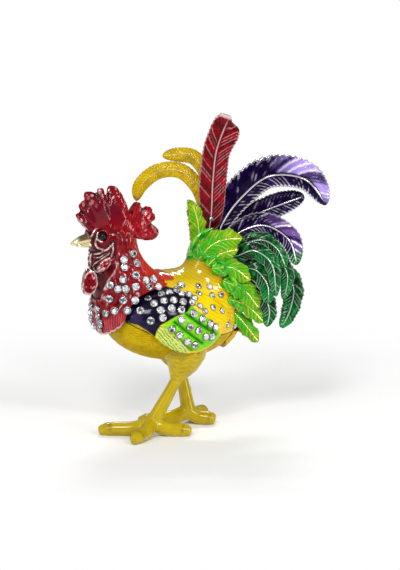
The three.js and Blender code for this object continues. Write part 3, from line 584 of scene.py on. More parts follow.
# body: an egg with a deeper back than belly, parted along a line that is high at the breast and low behind
eggForm = dict(midX=-3.2, halfLong=24.0, halfWide=14.3, taper=0.1, rise=16.0, drop=14.5, level=39.0,
               rearFall=1.5, wall=2.0, web=-17.2)
humpForm = dict(halfLong=9.0, halfWide=8.0, halfHigh=16.0, fillet=2.2, settle=0.12)
partingGap = 0.15
partingLine = [(-57.2, 0, 44), (-27.2, 0, 43), (-25.2, 0, 41.7), (-14.5, 0, 36.2), (-3.2, 0, 34.6),
               (12, 0, 33.2), (20.8, 0, 33), (80.8, 0, 33)]
partingSamples = smoothLine(partingLine, np.linspace(0, 1, 1500))


def partingHeight(x):
    return np.interp(x, partingSamples[:, 0], partingSamples[:, 2])


# about how far a point lies outside the egg, and outside the egg joined to the hump by a soft fillet
def eggDepth(points, grow=0.0):
    along = (points[..., 0] - eggForm["midX"]) / (eggForm["halfLong"] + grow)
    side = points[..., 1] / ((eggForm["halfWide"] + grow) * (1 - eggForm["taper"] * np.clip(along, -1, 1)))
    above = points[..., 2] - eggForm["level"] + eggForm["rearFall"] * np.clip(along, -1, 1)
    above = above / (np.where(above > 0, eggForm["rise"], eggForm["drop"]) + grow)
    return (np.sqrt(along**2 + side**2 + above**2) - 1) * eggForm["halfWide"]


def lidDepth(points):
    halves = np.array([humpForm[key] for key in ("halfLong", "halfWide", "halfHigh")])
    hump = (points - humpMiddle) / halves
    humpDepth = (np.linalg.norm(hump, axis=-1) - 1) * humpForm["halfWide"]
    soft = humpForm["fillet"]
    return -soft * np.logaddexp(-eggDepth(points) / soft, -humpDepth / soft) + soft * humpForm["settle"]


# shell half: rays from an inner point meet the outer and the inner skin, and both stop at the parting line.
# The polar angle runs from the pole to the rim, and halving finds skin and rim for all columns at once
shellSearch = dict(reach=80.0, polarLow=0.2, polarHigh=2.9, pole=0.02, rounds=26,
                   lip=(0.16, 0.84, 5))


def shellRings(centre, up, outerDepth, rowsOut, rowsIn, columns):
    turnRound = np.linspace(0, 2 * math.pi, columns, endpoint=False)
    middle = np.array(centre)
    rounds = shellSearch["rounds"]

    def rayPoint(polar, depth):
        ray = np.stack([np.sin(polar) * np.cos(turnRound), np.sin(polar) * np.sin(turnRound),
                        up * np.cos(polar) + 0 * turnRound], axis=-1)
        low, high = np.zeros(ray.shape[:-1]), np.full(ray.shape[:-1], shellSearch["reach"])
        far = halved(low, high, rounds, lambda half: depth(middle + ray * half[..., None]) > 0)
        return middle + ray * far[..., None]

    def rimPolar(depth):
        def pastRim(polar):
            spot = rayPoint(polar, depth)
            return up * (spot[:, 2] - partingHeight(spot[:, 0])) < partingGap

        low, high = (np.full(columns, shellSearch[key]) for key in ("polarLow", "polarHigh"))
        return halved(low, high, rounds, pastRim)

    def innerDepth(points):
        return eggDepth(points, -eggForm["wall"])

    pole = shellSearch["pole"]
    outer = rayPoint(np.linspace(pole, 1, rowsOut)[:, None] * rimPolar(outerDepth), outerDepth)
    inner = rayPoint(np.linspace(1, pole, rowsIn)[:, None] * rimPolar(innerDepth), innerDepth)
    inner[..., 0] = np.maximum(inner[..., 0], eggForm["web"])
    limit = partingHeight(inner[..., 0]) + up * partingGap
    inner[..., 2] = np.where(up * (inner[..., 2] - limit) < 0, limit, inner[..., 2])
    lip = outer[-1] + (inner[0] - outer[-1]) * np.linspace(*shellSearch["lip"])[:, None, None]
    lip[..., 2] = partingHeight(lip[..., 0]) + up * partingGap
    return outer, np.concatenate([lip, inner])


# carved plumage: fine strokes that bow and turn from patch to patch, in overlapping rows
def plumage(points, row, stroke, height):
    along = points[..., 0] * 0.9 - points[..., 2] * 0.45 + 1.1 * wander(points, 5.0, 1.0)
    girth = np.arctan2(points[..., 2] - eggForm["level"], np.abs(points[..., 1]) + 0.5) * 13.0
    beat = along / row + 0.25 * np.sin(girth / 1.7)
    number, bowed = np.floor(beat), np.mod(beat, 1)
    spread = girth + (bowed - 0.4) * (1.3 * np.sin(number * 2.3) + 1.5 * wander(points, 2.6, 3.0))
    line = np.cos(2 * math.pi * spread / stroke + number * 1.9)
    return height * (0.5 * line * np.sin(math.pi * bowed) ** 0.7 + 0.25 * (bowed - 0.5))


bowlForm = dict(centre=(-3.2, 0.0, 38.0), rowsOut=186, rowsIn=36, columns=400)
bowlCarving = dict(row=2.9, stroke=0.95, height=0.28)
bowlTone = dict(outside=0.46, carved=2.4, uneven=0.12, inside=0.45)
outer, inner = shellRings(up=-1, outerDepth=eggDepth, **bowlForm)
carving = plumage(outer, **bowlCarving) * np.linspace(1, 0.6, len(outer))[:, None]
outer = outer + gridNormals(outer, bowlForm["centre"]) * carving[..., None]
tone = bowlTone["outside"] + bowlTone["carved"] * carving + bowlTone["uneven"] * wander(outer, 3.0, 2.0)
tone = np.concatenate([tone, np.full(inner.shape[:2], bowlTone["inside"])])
skin("belly_bowl", np.concatenate([outer, inner]), {"paint": painted("mustard", tone), "metal": 0 * tone},
     "base", finishes["carved"], ["belly_bowl"])

# painted fields on the back, as the photograph shows them: millimetres right and up from the origin
fields = {
    "shoulder": [(-17.8, 35.6), (-19, 38.7), (-18, 42.2), (-16, 44.5), (-14, 46.5), (-11, 48.4),
                 (-6.4, 48.8), (-3.1, 47.2), (-0.6, 46.8), (2.3, 45.3), (4.1, 43.3), (4.1, 40.7), (2.6, 39),
                 (-0.7, 37.7), (-3.7, 36), (-6.1, 34.7), (-7.4, 32.7), (-7.9, 30.7), (-10.5, 32.7),
                 (-13.7, 34.7)],
    "greens": [(3.8, 41.3), (5.6, 39.7), (7.9, 38.2), (10.6, 36.3), (12.6, 34.3), (13.4, 32.3), (13.2, 30.3),
               (12.3, 29.2), (9.9, 27.7), (6.9, 26.3), (3.9, 26), (0, 29.8), (-3.1, 33.3), (-6, 34.3),
               (-3.7, 36), (-0.7, 37.7), (2.6, 39)],
    "leaf": [(-7.4, 32.7), (-6, 34.3), (-3.1, 33.3), (0, 29.8), (3.9, 26), (1.6, 25.4), (-1.1, 25.7),
             (-3.7, 26.7), (-5.7, 28.2), (-7, 30.3)],
}
napeTip = [(-14, 54.5), (-8, 55), (-5.6, 52.6), (-3.4, 51.6), (-1.9, 50.5), (-1.8, 49.6), (-3.6, 49.2),
           (-6, 49.6), (-12, 47)]
napeLight = (0.2, 0.02, 0)
cloakEdge = [(-20, 56.2), (3, 56.4), (7.9, 56.4), (9.6, 55), (12.4, 52.3), (16.8, 47.9), (18.3, 42.7),
             (19.8, 38.2)]
cloak = cloakEdge + [(60, 38), (60, 110), (-20, 110)]
cloakScales = [(6.5, 58.6, 2.0), (10.5, 54.6, 1.6), (14.3, 52.6, 1.6), (17.4, 49.2, 1.7), (19.7, 45.1, 1.8),
               (9.4, 61, 2.2), (13, 57.6, 2.1), (16.8, 54.5, 1.9), (20.2, 41.5, 1.6)]
grooves = [
    [(-3.1, 33.3), (0, 29.8), (3.9, 26)],
    [(-1.4, 35.6), (2.6, 32.4), (7.7, 28.6)],
    [(2.3, 38.4), (7.1, 34.9), (12.2, 31.7)],
]
fieldPaint = dict(shoulder=[(0.002, 0.001, 0.008), (0.008, 0.004, 0.026), (0.06, 0.05, 0.14)],
                  greens=[(0.0, 0.16, 0.0), (0.09, 0.5, 0.0), (0.3, 0.68, 0.01)],
                  leaf=[(0.13, 0.24, 0.0), (0.4, 0.53, 0.045), (0.66, 0.7, 0.22)])
paints.update(fieldPaint)

# tone, unevenness, relief and bare plating of each field; edge is half the width of its soft border
fieldLook = dict(
    ground=dict(tone=0.55, stripe=0.12, stripeLong=1.25, uneven=0.2, rear=0.25, top=0.38, ridge=0.05),
    shoulder=dict(edge=0.25, tone=0.4, uneven=0.3, rear=0.25, raised=0.25),
    greens=dict(edge=0.2, tone=0.75, dark=0.75, darkWide=0.55, uneven=0.15, raised=0.5, cut=0.75,
                cutWide=0.7),
    leaf=dict(edge=0.2, tone=0.72, dark=0.9, rayLong=1.25, uneven=0.2, ridge=0.12, bare=0.3),
    cloak=dict(tone=0.4, dome=0.4, uneven=0.3, raised=1.1, ring=0.3, ringWide=0.09, bare=0.6),
    nape=dict(edge=0.25, tone=0.4))


# colour, bare metal and relief of the back: yellow ground, dark shoulder, three green feathers, pale leaf
def backFields(points):
    places = pictureOf(points)
    groundLook, darkLook, greenLook, leafLook, cloakLook, napeLook = fieldLook.values()
    flankward = ease(0.5, 3.0, np.abs(points[..., 1]))

    def within(outline, look):
        return ease(-look["edge"], look["edge"], insideOutline(places, outline))

    shoulder = within(fields["shoulder"], darkLook) * flankward
    greens = within(fields["greens"], greenLook) * flankward
    leaf = within(fields["leaf"], leafLook) * flankward
    groove = np.stack([fromLine(places, line) for line in grooves]).min(0)
    drift = places[..., 1] + 0.55 * places[..., 0] + 0.5 * wander(points, 4.0)
    stripes = np.cos(2 * math.pi * drift / groundLook["stripeLong"])
    groundTone = groundLook["tone"] + groundLook["stripe"] * stripes
    groundTone = groundTone + groundLook["uneven"] * wander(points, 6.0, 3.0)
    groundTone = groundTone - groundLook["rear"] * ease(9, 15, places[..., 0])
    ground = painted("saffron", groundTone)
    # painted shade: the top of the back is painted darker than the flank
    ground = ground * (1 - groundLook["top"] * ease(45, 51, places[..., 1]))[..., None]
    darkTone = darkLook["tone"] + darkLook["uneven"] * wander(points, 4.0, 5.0)
    darkTone = darkTone - darkLook["rear"] * ease(-14, -6, places[..., 0])
    paint = blended(ground, painted("shoulder", darkTone), shoulder)
    greenTone = greenLook["tone"] - greenLook["dark"] * bell(groove, greenLook["darkWide"])
    greenTone = greenTone + greenLook["uneven"] * wander(points, 3.0)
    paint = blended(paint, painted("greens", greenTone), greens)
    rayTurn = 2 * math.pi * (places[..., 0] + 0.85 * places[..., 1]) / leafLook["rayLong"]
    rays = np.cos(rayTurn + 2.2 * wander(points, 2.4, 4.0) + 1.9 * wander(points, 0.9, 6.0))
    rayLines = ease(0.25, 0.85, -rays) * ease(-0.4, 0.2, wander(points, 1.6, 1.0))
    leafTone = leafLook["tone"] - leafLook["dark"] * rayLines + leafLook["uneven"] * wander(points, 1.2, 3.0)
    paint = blended(paint, painted("leaf", leafTone), leaf)
    green = ease(-0.9, 0.7, insideOutline(places, cloak))
    dome, ring = 0 * green, 0 * green
    for right, up, radius in cloakScales:
        away = np.hypot(places[..., 0] - right, places[..., 1] - up) / radius
        dome = np.maximum(dome, np.sqrt(np.maximum(0, 1 - away**2)))
        ring = np.maximum(ring, bell(away - 0.95, cloakLook["ringWide"]))
    cloakTone = cloakLook["tone"] + cloakLook["dome"] * dome + cloakLook["uneven"] * wander(points, 2.2, 2.0)
    paint = blended(paint, painted("emerald", cloakTone), green)
    tip = within(napeTip, napeLook)
    paint = blended(paint, painted("crimson", napeLook["tone"]) + np.array(napeLight), tip)
    metal = np.maximum(leafLook["bare"] * leaf * ease(0.6, 0.95, rays),
                       cloakLook["bare"] * green * ease(0.4, 0.8, ring))
    relief = groundLook["ridge"] * stripes * (1 - np.maximum(shoulder, greens))
    relief = relief + leafLook["ridge"] * leaf * rays
    cut = greenLook["cut"] * bell(groove, greenLook["cutWide"])
    relief = relief + greens * (greenLook["raised"] - cut) + darkLook["raised"] * shoulder
    relief = relief + green * (cloakLook["raised"] * dome + cloakLook["ring"] * ring) + tip
    return paint, metal, relief


lidForm = dict(centre=(4.0, 0.0, 44.0), rowsOut=190, rowsIn=40, columns=320)
lidLook = dict(relief=0.4, inside=0.4)
outer, inner = shellRings(up=1, outerDepth=lidDepth, **lidForm)
paint, metal, relief = backFields(outer)
outer = outer + gridNormals(outer, lidForm["centre"]) * (relief * lidLook["relief"])[..., None]
paint = np.concatenate([paint, painted("saffron", np.full(inner.shape[:2], lidLook["inside"]))])
metal = np.concatenate([metal, np.zeros(inner.shape[:2])])
skin("lid_shell", np.concatenate([outer, inner]), {"paint": paint, "metal": metal}, "lid",
     finishes["lacquer"], ["lid_shell"])
print("bowl and lid made")

# wings: crowned plates that follow the flank; outline in side view, as x and height above the level
wingForm = dict(mid=(-4.0, 39.5), edge=1.2, crown=1.3, standOff=0.4, rows=110, backRows=10, columns=360)
wingOutline = [(-24, 4.6), (-19, 8), (-10, 10.4), (0, 10.2), (8, 7), (14.5, -0.4), (8.4, -6.2), (2.6, -9.2),
               (-2.8, -9.7), (-7.2, -8.8), (-12, -6.2), (-15.4, -3), (-20, 0.4), (-23.6, 2.6)]


# plate: places between the middle and the outline, set out on the flank by a crown that falls to the edge
def wingRings(side):
    loop = [(x, 0, eggForm["level"] + up) for x, up in wingOutline]
    count = len(loop)
    share = np.linspace(1, 1 + count, wingForm["columns"], endpoint=False) / (count + 2)
    rim = smoothLine([loop[-1]] + loop + loop[:2], share)[:, [0, 2]]
    rows, backRows = wingForm["rows"], wingForm["backRows"]
    reach = np.concatenate([np.linspace(0.02, 1, rows) ** 0.8, np.linspace(0.97, 0.05, backRows)])
    isFront = np.concatenate([np.ones(rows), np.zeros(backRows)])[:, None]
    middle = np.array(wingForm["mid"])
    spot = middle + (rim[None] - middle) * reach[:, None, None]
    x, z = spot[..., 0], spot[..., 1]
    along = (x - eggForm["midX"]) / eggForm["halfLong"]
    level, rise = eggForm["level"], eggForm["rise"]
    height = (np.maximum(z, level) - level + eggForm["rearFall"] * along) / rise
    wide = eggForm["halfWide"] * (1 - eggForm["taper"] * along)
    flank = wide * np.sqrt(np.maximum(0, 1 - along**2 - height**2))
    fall = reach[:, None]
    rounded = np.sqrt(np.maximum(0, 1 - fall**8))
    raised = isFront * (wingForm["edge"] * rounded + wingForm["crown"] * (1 - fall))
    rings = np.stack([x, side * (flank + wingForm["standOff"] + raised), z], axis=-1)
    paint, metal, relief = backFields(rings)
    rings[..., 1] += side * (isFront * relief * (1 - fall**6))
    return rings, paint, metal


for sideName, side in sides:
    name = f"{sideName}_wing"
    rings, paint, metal = wingRings(side)
    skin(name, rings, {"paint": paint, "metal": metal}, "lid", finishes["glossy"], [name])
print("wings made")

# head and neck: oval sections at rising levels (height, front, back, half width), hung to the cape's edge
neckLevels = [(33, -27.5, -12, 7), (36, -29.4, -9, 10.5), (41, -31, -7, 12.6), (45, -31.2, -4.5, 12.8),
              (50, -31.4, -2, 11.6), (53, -32, -5.6, 10.6), (56, -32.2, -10.2, 9.4), (60, -32.4, -13.8, 7.8),
              (64, -32.3, -15.6, 6.6), (67, -33.4, -16.2, 6.5), (70, -33.6, -16.6, 5.9),
              (72, -32, -18.5, 4.6), (73.4, -28.6, -21, 2.8), (74, -25.5, -24, 0.5)]
capeEdge = [(-60, 0, 33), (-31.5, 0, 34.4), (-28, 0, 37.6), (-25, 0, 41.8), (-24, 0, 45), (-21.7, 0, 48),
            (-18.8, 0, 50), (-12.4, 0, 51.6), (-2, 0, 50.4), (40, 0, 50)]
capeForm = dict(rows=200, columns=380, scallop=0.55, scallopWide=2.6, strokes=1.0, bandHigh=6.5,
                inner=(-22, 0, 54), crown=74.0, search=(33.0, 60.0), rounds=30, bibEnds=(-26.5, -24.5),
                crowd=1.15, hemTone=0.3,
                hem=((-0.1, 0.4), (0.1, 1.1), (1.0, 1.5), (3.0, 1.5), (6.0, 1.6), (9.0, 3.0)))
neckTable = smoothLine(neckLevels, np.linspace(0, 1, 800))
capeSamples = smoothLine(capeEdge, np.linspace(0, 1, 1500))


def capeHeight(x):
    return np.interp(x, capeSamples[:, 0], capeSamples[:, 2])


def bibShare(x):
    return 1 - ease(*capeForm["bibEnds"], x)


# oval of a level: front, back and half width come from the table, less the shrink
def neckPoint(height, turns, shrink=0.0):
    front, back, half = (np.interp(height, neckTable[:, 0], neckTable[:, k]) for k in (1, 2, 3))
    x = (front + back) / 2 + np.maximum(0.2, (back - front) / 2 - shrink) * np.cos(turns)
    return np.stack([x, np.maximum(0.1, half - shrink) * np.sin(turns), height + 0 * turns], axis=-1)


# face lines in the picture: brow, folds under the eye and on the cheek, and the front of the throat
faceLines = [
    [(-30.4, 65.4), (-29.5, 63.9), (-28.6, 64.6), (-27.9, 66.1), (-26.9, 67.1)],
    [(-27.2, 63.4), (-27.6, 61.9), (-26.9, 60.5), (-25.2, 59.7)],
    [(-28, 58.2), (-26.6, 58.4), (-24.8, 59.3), (-23, 60.3), (-21.8, 61.8)],
    [(-21.9, 61.7), (-21.9, 59.5), (-22.4, 57.5)],
    [(-28.9, 54.2), (-27.4, 55.4), (-25.8, 56.5), (-24.3, 57.5), (-23, 58.4)],
    [(-28.6, 53.4), (-27.4, 52.3), (-26.1, 52)],
    [(-29.1, 55.2), (-29.3, 57), (-28.9, 58.5)],
    [(-28.1, 57.2), (-26.4, 57.1), (-24.6, 58.3)],
]
foldWide = [0.34, 0.4, 0.4, 0.36, 0.26, 0.26, 0.26, 0.2]
eyeRing = dict(at=(-25.3, 64.15), socket=1.45, rim=1.85, wide=0.34)
faceOutline = [(-33, 68), (-20.5, 66), (-20.5, 57), (-24, 52.5), (-30, 50), (-36, 56)]
hackleTints = dict(nape=(0.62, 0.03, 0.004), bib=(0.42, 0.07, 0.09))
hackleFront = [(-20.6, 55), (-21.7, 51.9), (-23.8, 49.4), (-25, 46.5), (-26, 43.3)]
neckTone = dict(ground=0.31, uneven=0.18, face=0.14, throat=0.26, nape=0.1, plumes=0.06, bib=0.22,
                strokes=0.24, shadedTrench=0.22, socket=0.3, eyelid=0.12)
# bare pale plating: on the bib's edge it is gilt; on the face folds, the hackle's front lip and the plume
# streaks it is partly painted highlight
neckBare = dict(face=0.85, edge=0.8, lip=0.6, highlightStreak=0.5)
neckRise = dict(fold=0.5, shadedTrench=0.22, eyelid=0.35, socket=0.55, strokes=0.14, plumes=0.17, throat=0.5,
                lip=0.35)


# colour, bare metal and relief of head and neck: folds and eye on the face, strokes on the bib, plumes
def neckMarks(points, edgeUp, strokeTurn):
    places = pictureOf(points)
    curved = [smoothLine(line, np.linspace(0, 1, 16)) for line in faceLines]
    fold = np.stack([bell(fromLine(places, line), wide) for line, wide in zip(curved, foldWide)]).max(0)
    shadedTrench = np.stack([bell(fromLine(places, line) - 0.8, 0.3) for line in curved]).max(0)
    fromEye = places - np.array(eyeRing["at"])
    eyeAway = np.linalg.norm(fromEye, axis=-1)
    eyelid = bell(eyeAway - eyeRing["rim"], eyeRing["wide"])
    socket = 1 - ease(eyeRing["socket"] - 0.3, eyeRing["socket"] + 0.2, eyeAway)
    # the eyelid ring is bare and pale on its left and lower left side: a painted highlight on the side
    # facing the light
    sunward = (-0.8 * fromEye[..., 0] - 0.35 * fromEye[..., 1]) / (eyeAway + 0.01)
    lidLight = eyelid * ease(-0.1, 0.7, sunward)
    broken = ease(-0.45, 0.15, wander(points, 0.9, 7.0))
    face = ease(-0.5, 0.5, insideOutline(places, faceOutline))
    front = bibShare(points[..., 0])
    bib = (1 - ease(0.55, 1.0, edgeUp / capeForm["bandHigh"])) * front
    strokes = np.cos(strokeTurn)
    nape = ease(-22, -12, points[..., 0]) * ease(46, 56, points[..., 2])
    throat = ease(-0.2, 0.4, insideOutline(places, hackleFront + [(-40, 43.3), (-40, 55)]))
    lip = bell(fromLine(places, hackleFront), 0.45) * (1 - throat)
    neckOnly = (1 - face) * (1 - throat) * (1 - bib)
    plumes = np.cos(strokeTurn / 2.8 + 4.2 * wander(points, 2.2)) * neckOnly
    # plume streaks: bare plating on plume crests, part wear and part painted highlight streaks
    highlightStreak = ease(0.4, 0.95, plumes) * ease(0.16, 0.5, wander(points, 1.3, 9.0)) * (1 - nape)
    tone = neckTone["ground"] + neckTone["uneven"] * wander(points, 1.7, 1.0) - neckTone["face"] * face
    tone = tone - neckTone["throat"] * throat + neckTone["nape"] * nape + neckTone["plumes"] * plumes
    tone = tone + bib * (neckTone["bib"] + neckTone["strokes"] * strokes)
    # painted shade in the trenches beside the face folds; the sunken eye socket is painted darker as well
    tone = tone - face * (neckTone["shadedTrench"] * shadedTrench + neckTone["socket"] * socket)
    tone = tone + neckTone["eyelid"] * face * eyelid
    paint = painted("crimson", tone)
    paint = blended(paint, hackleTints["nape"], 0.6 * nape)
    paint = blended(paint, hackleTints["bib"], 0.5 * bib * (0.6 + 0.4 * strokes))
    # bare plating on the face folds and the hackle's front lip: cast ridges left bare, and partly painted
    # highlights
    bareFold = ease(0.5, 0.85, fold) * (0.25 + 0.75 * broken)
    metal = neckBare["face"] * face * np.maximum(bareFold, ease(0.4, 0.8, lidLight))
    metal = metal + neckBare["edge"] * front * (1 - ease(0.25, 0.6, edgeUp))
    metal = metal + neckBare["lip"] * lip * broken + neckBare["highlightStreak"] * highlightStreak
    features = neckRise["fold"] * fold - neckRise["shadedTrench"] * shadedTrench + neckRise["eyelid"] * eyelid
    relief = face * (features - neckRise["socket"] * socket)
    relief = relief + neckRise["strokes"] * bib * strokes + neckRise["plumes"] * plumes
    relief = relief - neckRise["throat"] * throat + neckRise["lip"] * lip
    return paint, np.clip(metal, 0, 1), relief


turns = np.linspace(0, 2 * math.pi, capeForm["columns"], endpoint=False)
lowest, highest = (np.full(len(turns), height) for height in capeForm["search"])
meeting = halved(lowest, highest, capeForm["rounds"],
                 lambda half: half > capeHeight(neckPoint(half, turns)[:, 0]))
edge = neckPoint(meeting, turns)  # where each column meets the cape's edge
walked = np.concatenate([[0], np.cumsum(np.linalg.norm(np.diff(edge, axis=0), axis=1))])
scallops = np.abs(np.sin(math.pi * walked / capeForm["scallopWide"]))
edgeHeight = meeting - bibShare(edge[:, 0]) * capeForm["scallop"] * scallops
share = np.linspace(0, 1, capeForm["rows"])[:, None] ** capeForm["crowd"]
heights = edgeHeight + (capeForm["crown"] - edgeHeight) * share
outer = neckPoint(heights, turns[None])
strokeTurn = 2 * math.pi * walked[None] / capeForm["strokes"]
paint, metal, relief = neckMarks(outer, heights - edgeHeight, strokeTurn)
outer = outer + gridNormals(outer, capeForm["inner"]) * (relief * ease(0, 0.04, 1 - share))[..., None]
under = [neckPoint(edgeHeight[None] + up, turns[None], shrink) for up, shrink in capeForm["hem"]]
under = np.concatenate(under)[::-1]
rings = np.concatenate([under, outer])
paint = np.concatenate([painted("crimson", np.full(under.shape[:2], capeForm["hemTone"])), paint])
metal = np.concatenate([np.zeros(under.shape[:2]), metal])
skin("head_and_hackle", rings, {"paint": paint, "metal": metal}, "lid", finishes["hackle"],
     ["head_and_hackle"])
print("head and neck made")

# comb: a wall from the skull's ridge to a lobed line, thick at the foot, round on top, bulging in the lobes
combForm = dict(foot=4.4, top=1.3, bulge=0.9, sway=0.9, swayLong=9.0, rows=260, columns=44,
                inner=(-22, 0, 74), lump=0.34, crease=0.45, shadow=(0.07, 0.002, 0.012))
combTone = dict(ground=0.32, lumps=0.24, crease=0.25, rear=0.12, shadow=0.75, bare=0.5)
combTop = [(x, 0, z) for x, z in [
    (-33.1, 71), (-35.9, 73.8), (-37.8, 75.9), (-38.2, 77), (-36.7, 78), (-36.9, 80.2), (-34.3, 81.5),
    (-33.9, 84), (-30.7, 84.1), (-30.1, 85), (-27.9, 84.8), (-26.9, 83), (-25.5, 85.1), (-23.1, 85.2),
    (-21.9, 83.6), (-19.9, 79.7), (-18.3, 76.9), (-17.1, 77.2), (-15.9, 78.8), (-14.3, 78.8), (-13.5, 77.3),
    (-11.1, 77.2), (-10, 75.4), (-8.8, 73.8), (-10, 71.7), (-7.2, 68.4), (-7.6, 67), (-10, 66),
    (-14.4, 66.4), (-16.3, 67.5)]]
combCreases = [[(-36.7, 78), (-36.1, 77.3)], [(-34.3, 81.5), (-33.7, 79.9)], [(-30.7, 84.1), (-30.4, 82)],
               [(-26.9, 83), (-26.8, 80.8)], [(-18.3, 76.9), (-18.5, 75.9)], [(-13.5, 77.3), (-14, 75.6)],
               [(-10, 71.7), (-11.6, 71.3)]]
combFoot = [(-32.2, 0, 70), (-30, 0, 70.6), (-27, 0, 71), (-24, 0, 71), (-20.5, 0, 70), (-17.6, 0, 68.4),
            (-16.8, 0, 67.2)]
share = np.linspace(0, 1, combForm["rows"])
top, foot = smoothLine(combTop, share), smoothLine(combFoot, share)
across = np.linspace(0, math.pi, combForm["columns"])[None]
lift = np.sin(across) ** 0.75
spots = foot[:, None] + (top - foot)[:, None] * lift[..., None]
tall = np.linalg.norm(top - foot, axis=1)[:, None]
crease = np.stack([fromLine(spots[..., [0, 2]], line) for line in combCreases]).min(0)
puff = 1 - bell(crease, 1.1)
footWide = combForm["foot"] * (0.62 + 0.38 * ease(-30, -23, foot[:, :1]))
half = footWide + (combForm["top"] - footWide) * lift + combForm["bulge"] * puff * lift
half = half * ease(0, 3.0, tall)
swing = np.sin(2 * math.pi * spots[..., 0] / combForm["swayLong"])
spots[..., 1] = np.cos(across) * half + combForm["sway"] * swing * lift
rearward = ease(-25, -19, spots[..., 0])
lumps = wander(spots, 1.9, 2.0) * (1 - rearward) * ease(0.5, 0.85, lift)
lumps = lumps + wander(spots, 0.85, 2.0) * rearward
carving = (combForm["lump"] * lumps - combForm["crease"] * bell(crease, 0.6)) * np.sin(across)
spots = spots + gridNormals(spots, combForm["inner"]) * carving[..., None]
# the creases between the lobes are painted darker: painted shade
tone = combTone["ground"] + combTone["lumps"] * lumps - combTone["crease"] * bell(crease, 0.8)
tone = tone + combTone["rear"] * rearward
band = bell(lift - 0.5, 0.26) * (1 - rearward)
combPaint = blended(painted("crimson", tone), combForm["shadow"], combTone["shadow"] * band)
# pale bare patches high on the comb: painted highlights
combPaintedHighlight = combTone["bare"] * ease(0.35, 0.6, wander(spots, 1.3, 4.0)) * ease(0.55, 0.8, lift)
skin("comb", spots, {"paint": combPaint, "metal": combPaintedHighlight}, "lid", finishes["fleshy"],
     ["comb"])


# drop: a ball stretched to three half sizes, thinner at its upper end; also each point's reach in side view
def dropRings(middle, halves, taper, rows=60, columns=60):
    polar = np.linspace(0.03, math.pi - 0.03, rows)[:, None]
    turns = np.linspace(0, 2 * math.pi, columns, endpoint=False)[None]
    p = np.stack([np.sin(polar) * np.cos(turns), np.sin(polar) * np.sin(turns), -np.cos(polar) + 0 * turns],
                 axis=-1)
    sideReach = np.hypot(p[..., 0], p[..., 2])
    thinner = np.stack([1 - 0.12 * p[..., 2], 1 - taper * p[..., 2], np.ones_like(sideReach)], -1)
    spots = np.array(middle) + p * np.array(halves) * thinner
    return spots, sideReach


faceDrops = {
    "wattle": dict(at=(-33.3, 1.3, 53.6), halves=(2.2, 0.8, 4.3), taper=0.35, rim=0.78, splay=0.55,
                   tilt=0.1),
    "ear_lobe": dict(at=(-29.7, 5.2, 60.2), halves=(1.3, 0.8, 2.6), taper=0.2, rim=0.7, splay=0.85,
                     tilt=0.45),
}
dropLook = dict(rim=0.2, lump=0.18, tone=0.32, lumpTone=0.4, bareRim=0.7, bareLump=0.6)
for kind, drop in faceDrops.items():
    for sideName, side in sides:
        x, y, z = drop["at"]
        spots, sideReach = dropRings((x, side * y, z), drop["halves"], drop["taper"])
        rim = ease(drop["rim"], drop["rim"] + 0.1, sideReach) * (1 - ease(0.95, 1.0, sideReach))
        lumps = 0.6 * wander(spots, 0.8, 3.0) + 0.6 * wander(spots, 0.42, 5.0)
        rim = rim * (0.3 + 0.7 * ease(-0.3, 0.2, wander(spots, 0.9, 8.0)))
        raised = dropLook["rim"] * rim + dropLook["lump"] * lumps
        spots = spots + gridNormals(spots, (x, side * y, z)) * raised[..., None]
        paint = painted("crimson", dropLook["tone"] + dropLook["lumpTone"] * lumps)
        metal = dropLook["bareRim"] * rim + dropLook["bareLump"] * ease(0.2, 0.45, lumps)
        marks = {"paint": paint, "metal": np.clip(metal, 0, 1)}
        spots[..., 0] += drop["tilt"] * (spots[..., 2] - z)
        spots[..., 1] += side * drop["splay"] * (spots[..., 0] - x)
        name = f"{sideName}_{kind}"
        skin(name, spots, marks, "lid", finishes["rosy"], [name])
eyeForm = dict(at=(-30.2, 5.0, 69.7), halves=(1.3, 1.15, 1.3), steps=40)
for sideName, side in sides:
    x, y, z = eyeForm["at"]
    steps = eyeForm["steps"]
    spots, _ = dropRings((x, side * y, z), eyeForm["halves"], 0.0, rows=steps, columns=steps)
    skin(f"{sideName}_eye", spots, {}, "lid", finishes["jet"], [f"{sideName}_eye"])

# beak: two tapering bars, the upper one hooked over the lower; gold, with a dark ridge
beakForm = dict(root=-31.4, half=2.0, rows=60, columns=36, gold=(0.62, 0.47, 0.14),
                dark=(0.03, 0.028, 0.005))
beakHalves = {
    "beak": dict(tip=-39.6, level=68.4, high=1.9, droop=1.5, ridge=0.95, replaced=["beak"]),
    "beak_lower": dict(tip=-37.6, level=66.4, high=1.1, droop=0.3, ridge=0.3, replaced=[]),
}
share = np.linspace(0, 1, beakForm["rows"])
around = np.linspace(0, 2 * math.pi, beakForm["columns"], endpoint=False)[None]
for name, bar in beakHalves.items():
    x = beakForm["root"] + (bar["tip"] - beakForm["root"]) * share[:, None]
    taper = np.sqrt(1 - 0.98 * share[:, None] ** 1.5)
    z = bar["level"] - bar["droop"] * share[:, None] ** 2.2 + np.sin(around) * bar["high"] * taper
    y = np.cos(around) * beakForm["half"] * taper
    spots = np.stack([x + 0 * around, y, z], axis=-1)
    ridge = ease(-0.3, 0.2, np.sin(around) + 0 * x) * (1 - ease(0.6, 0.9, share))[:, None] * bar["ridge"]
    paint = blended(np.broadcast_to(np.array(beakForm["gold"]), spots.shape), beakForm["dark"], ridge)
    marks = {"paint": paint, "metal": 0.85 * (1 - ridge)}
    skin(name, spots, marks, "lid", finishes["glossy"], bar["replaced"])
print("comb, face and beak made")

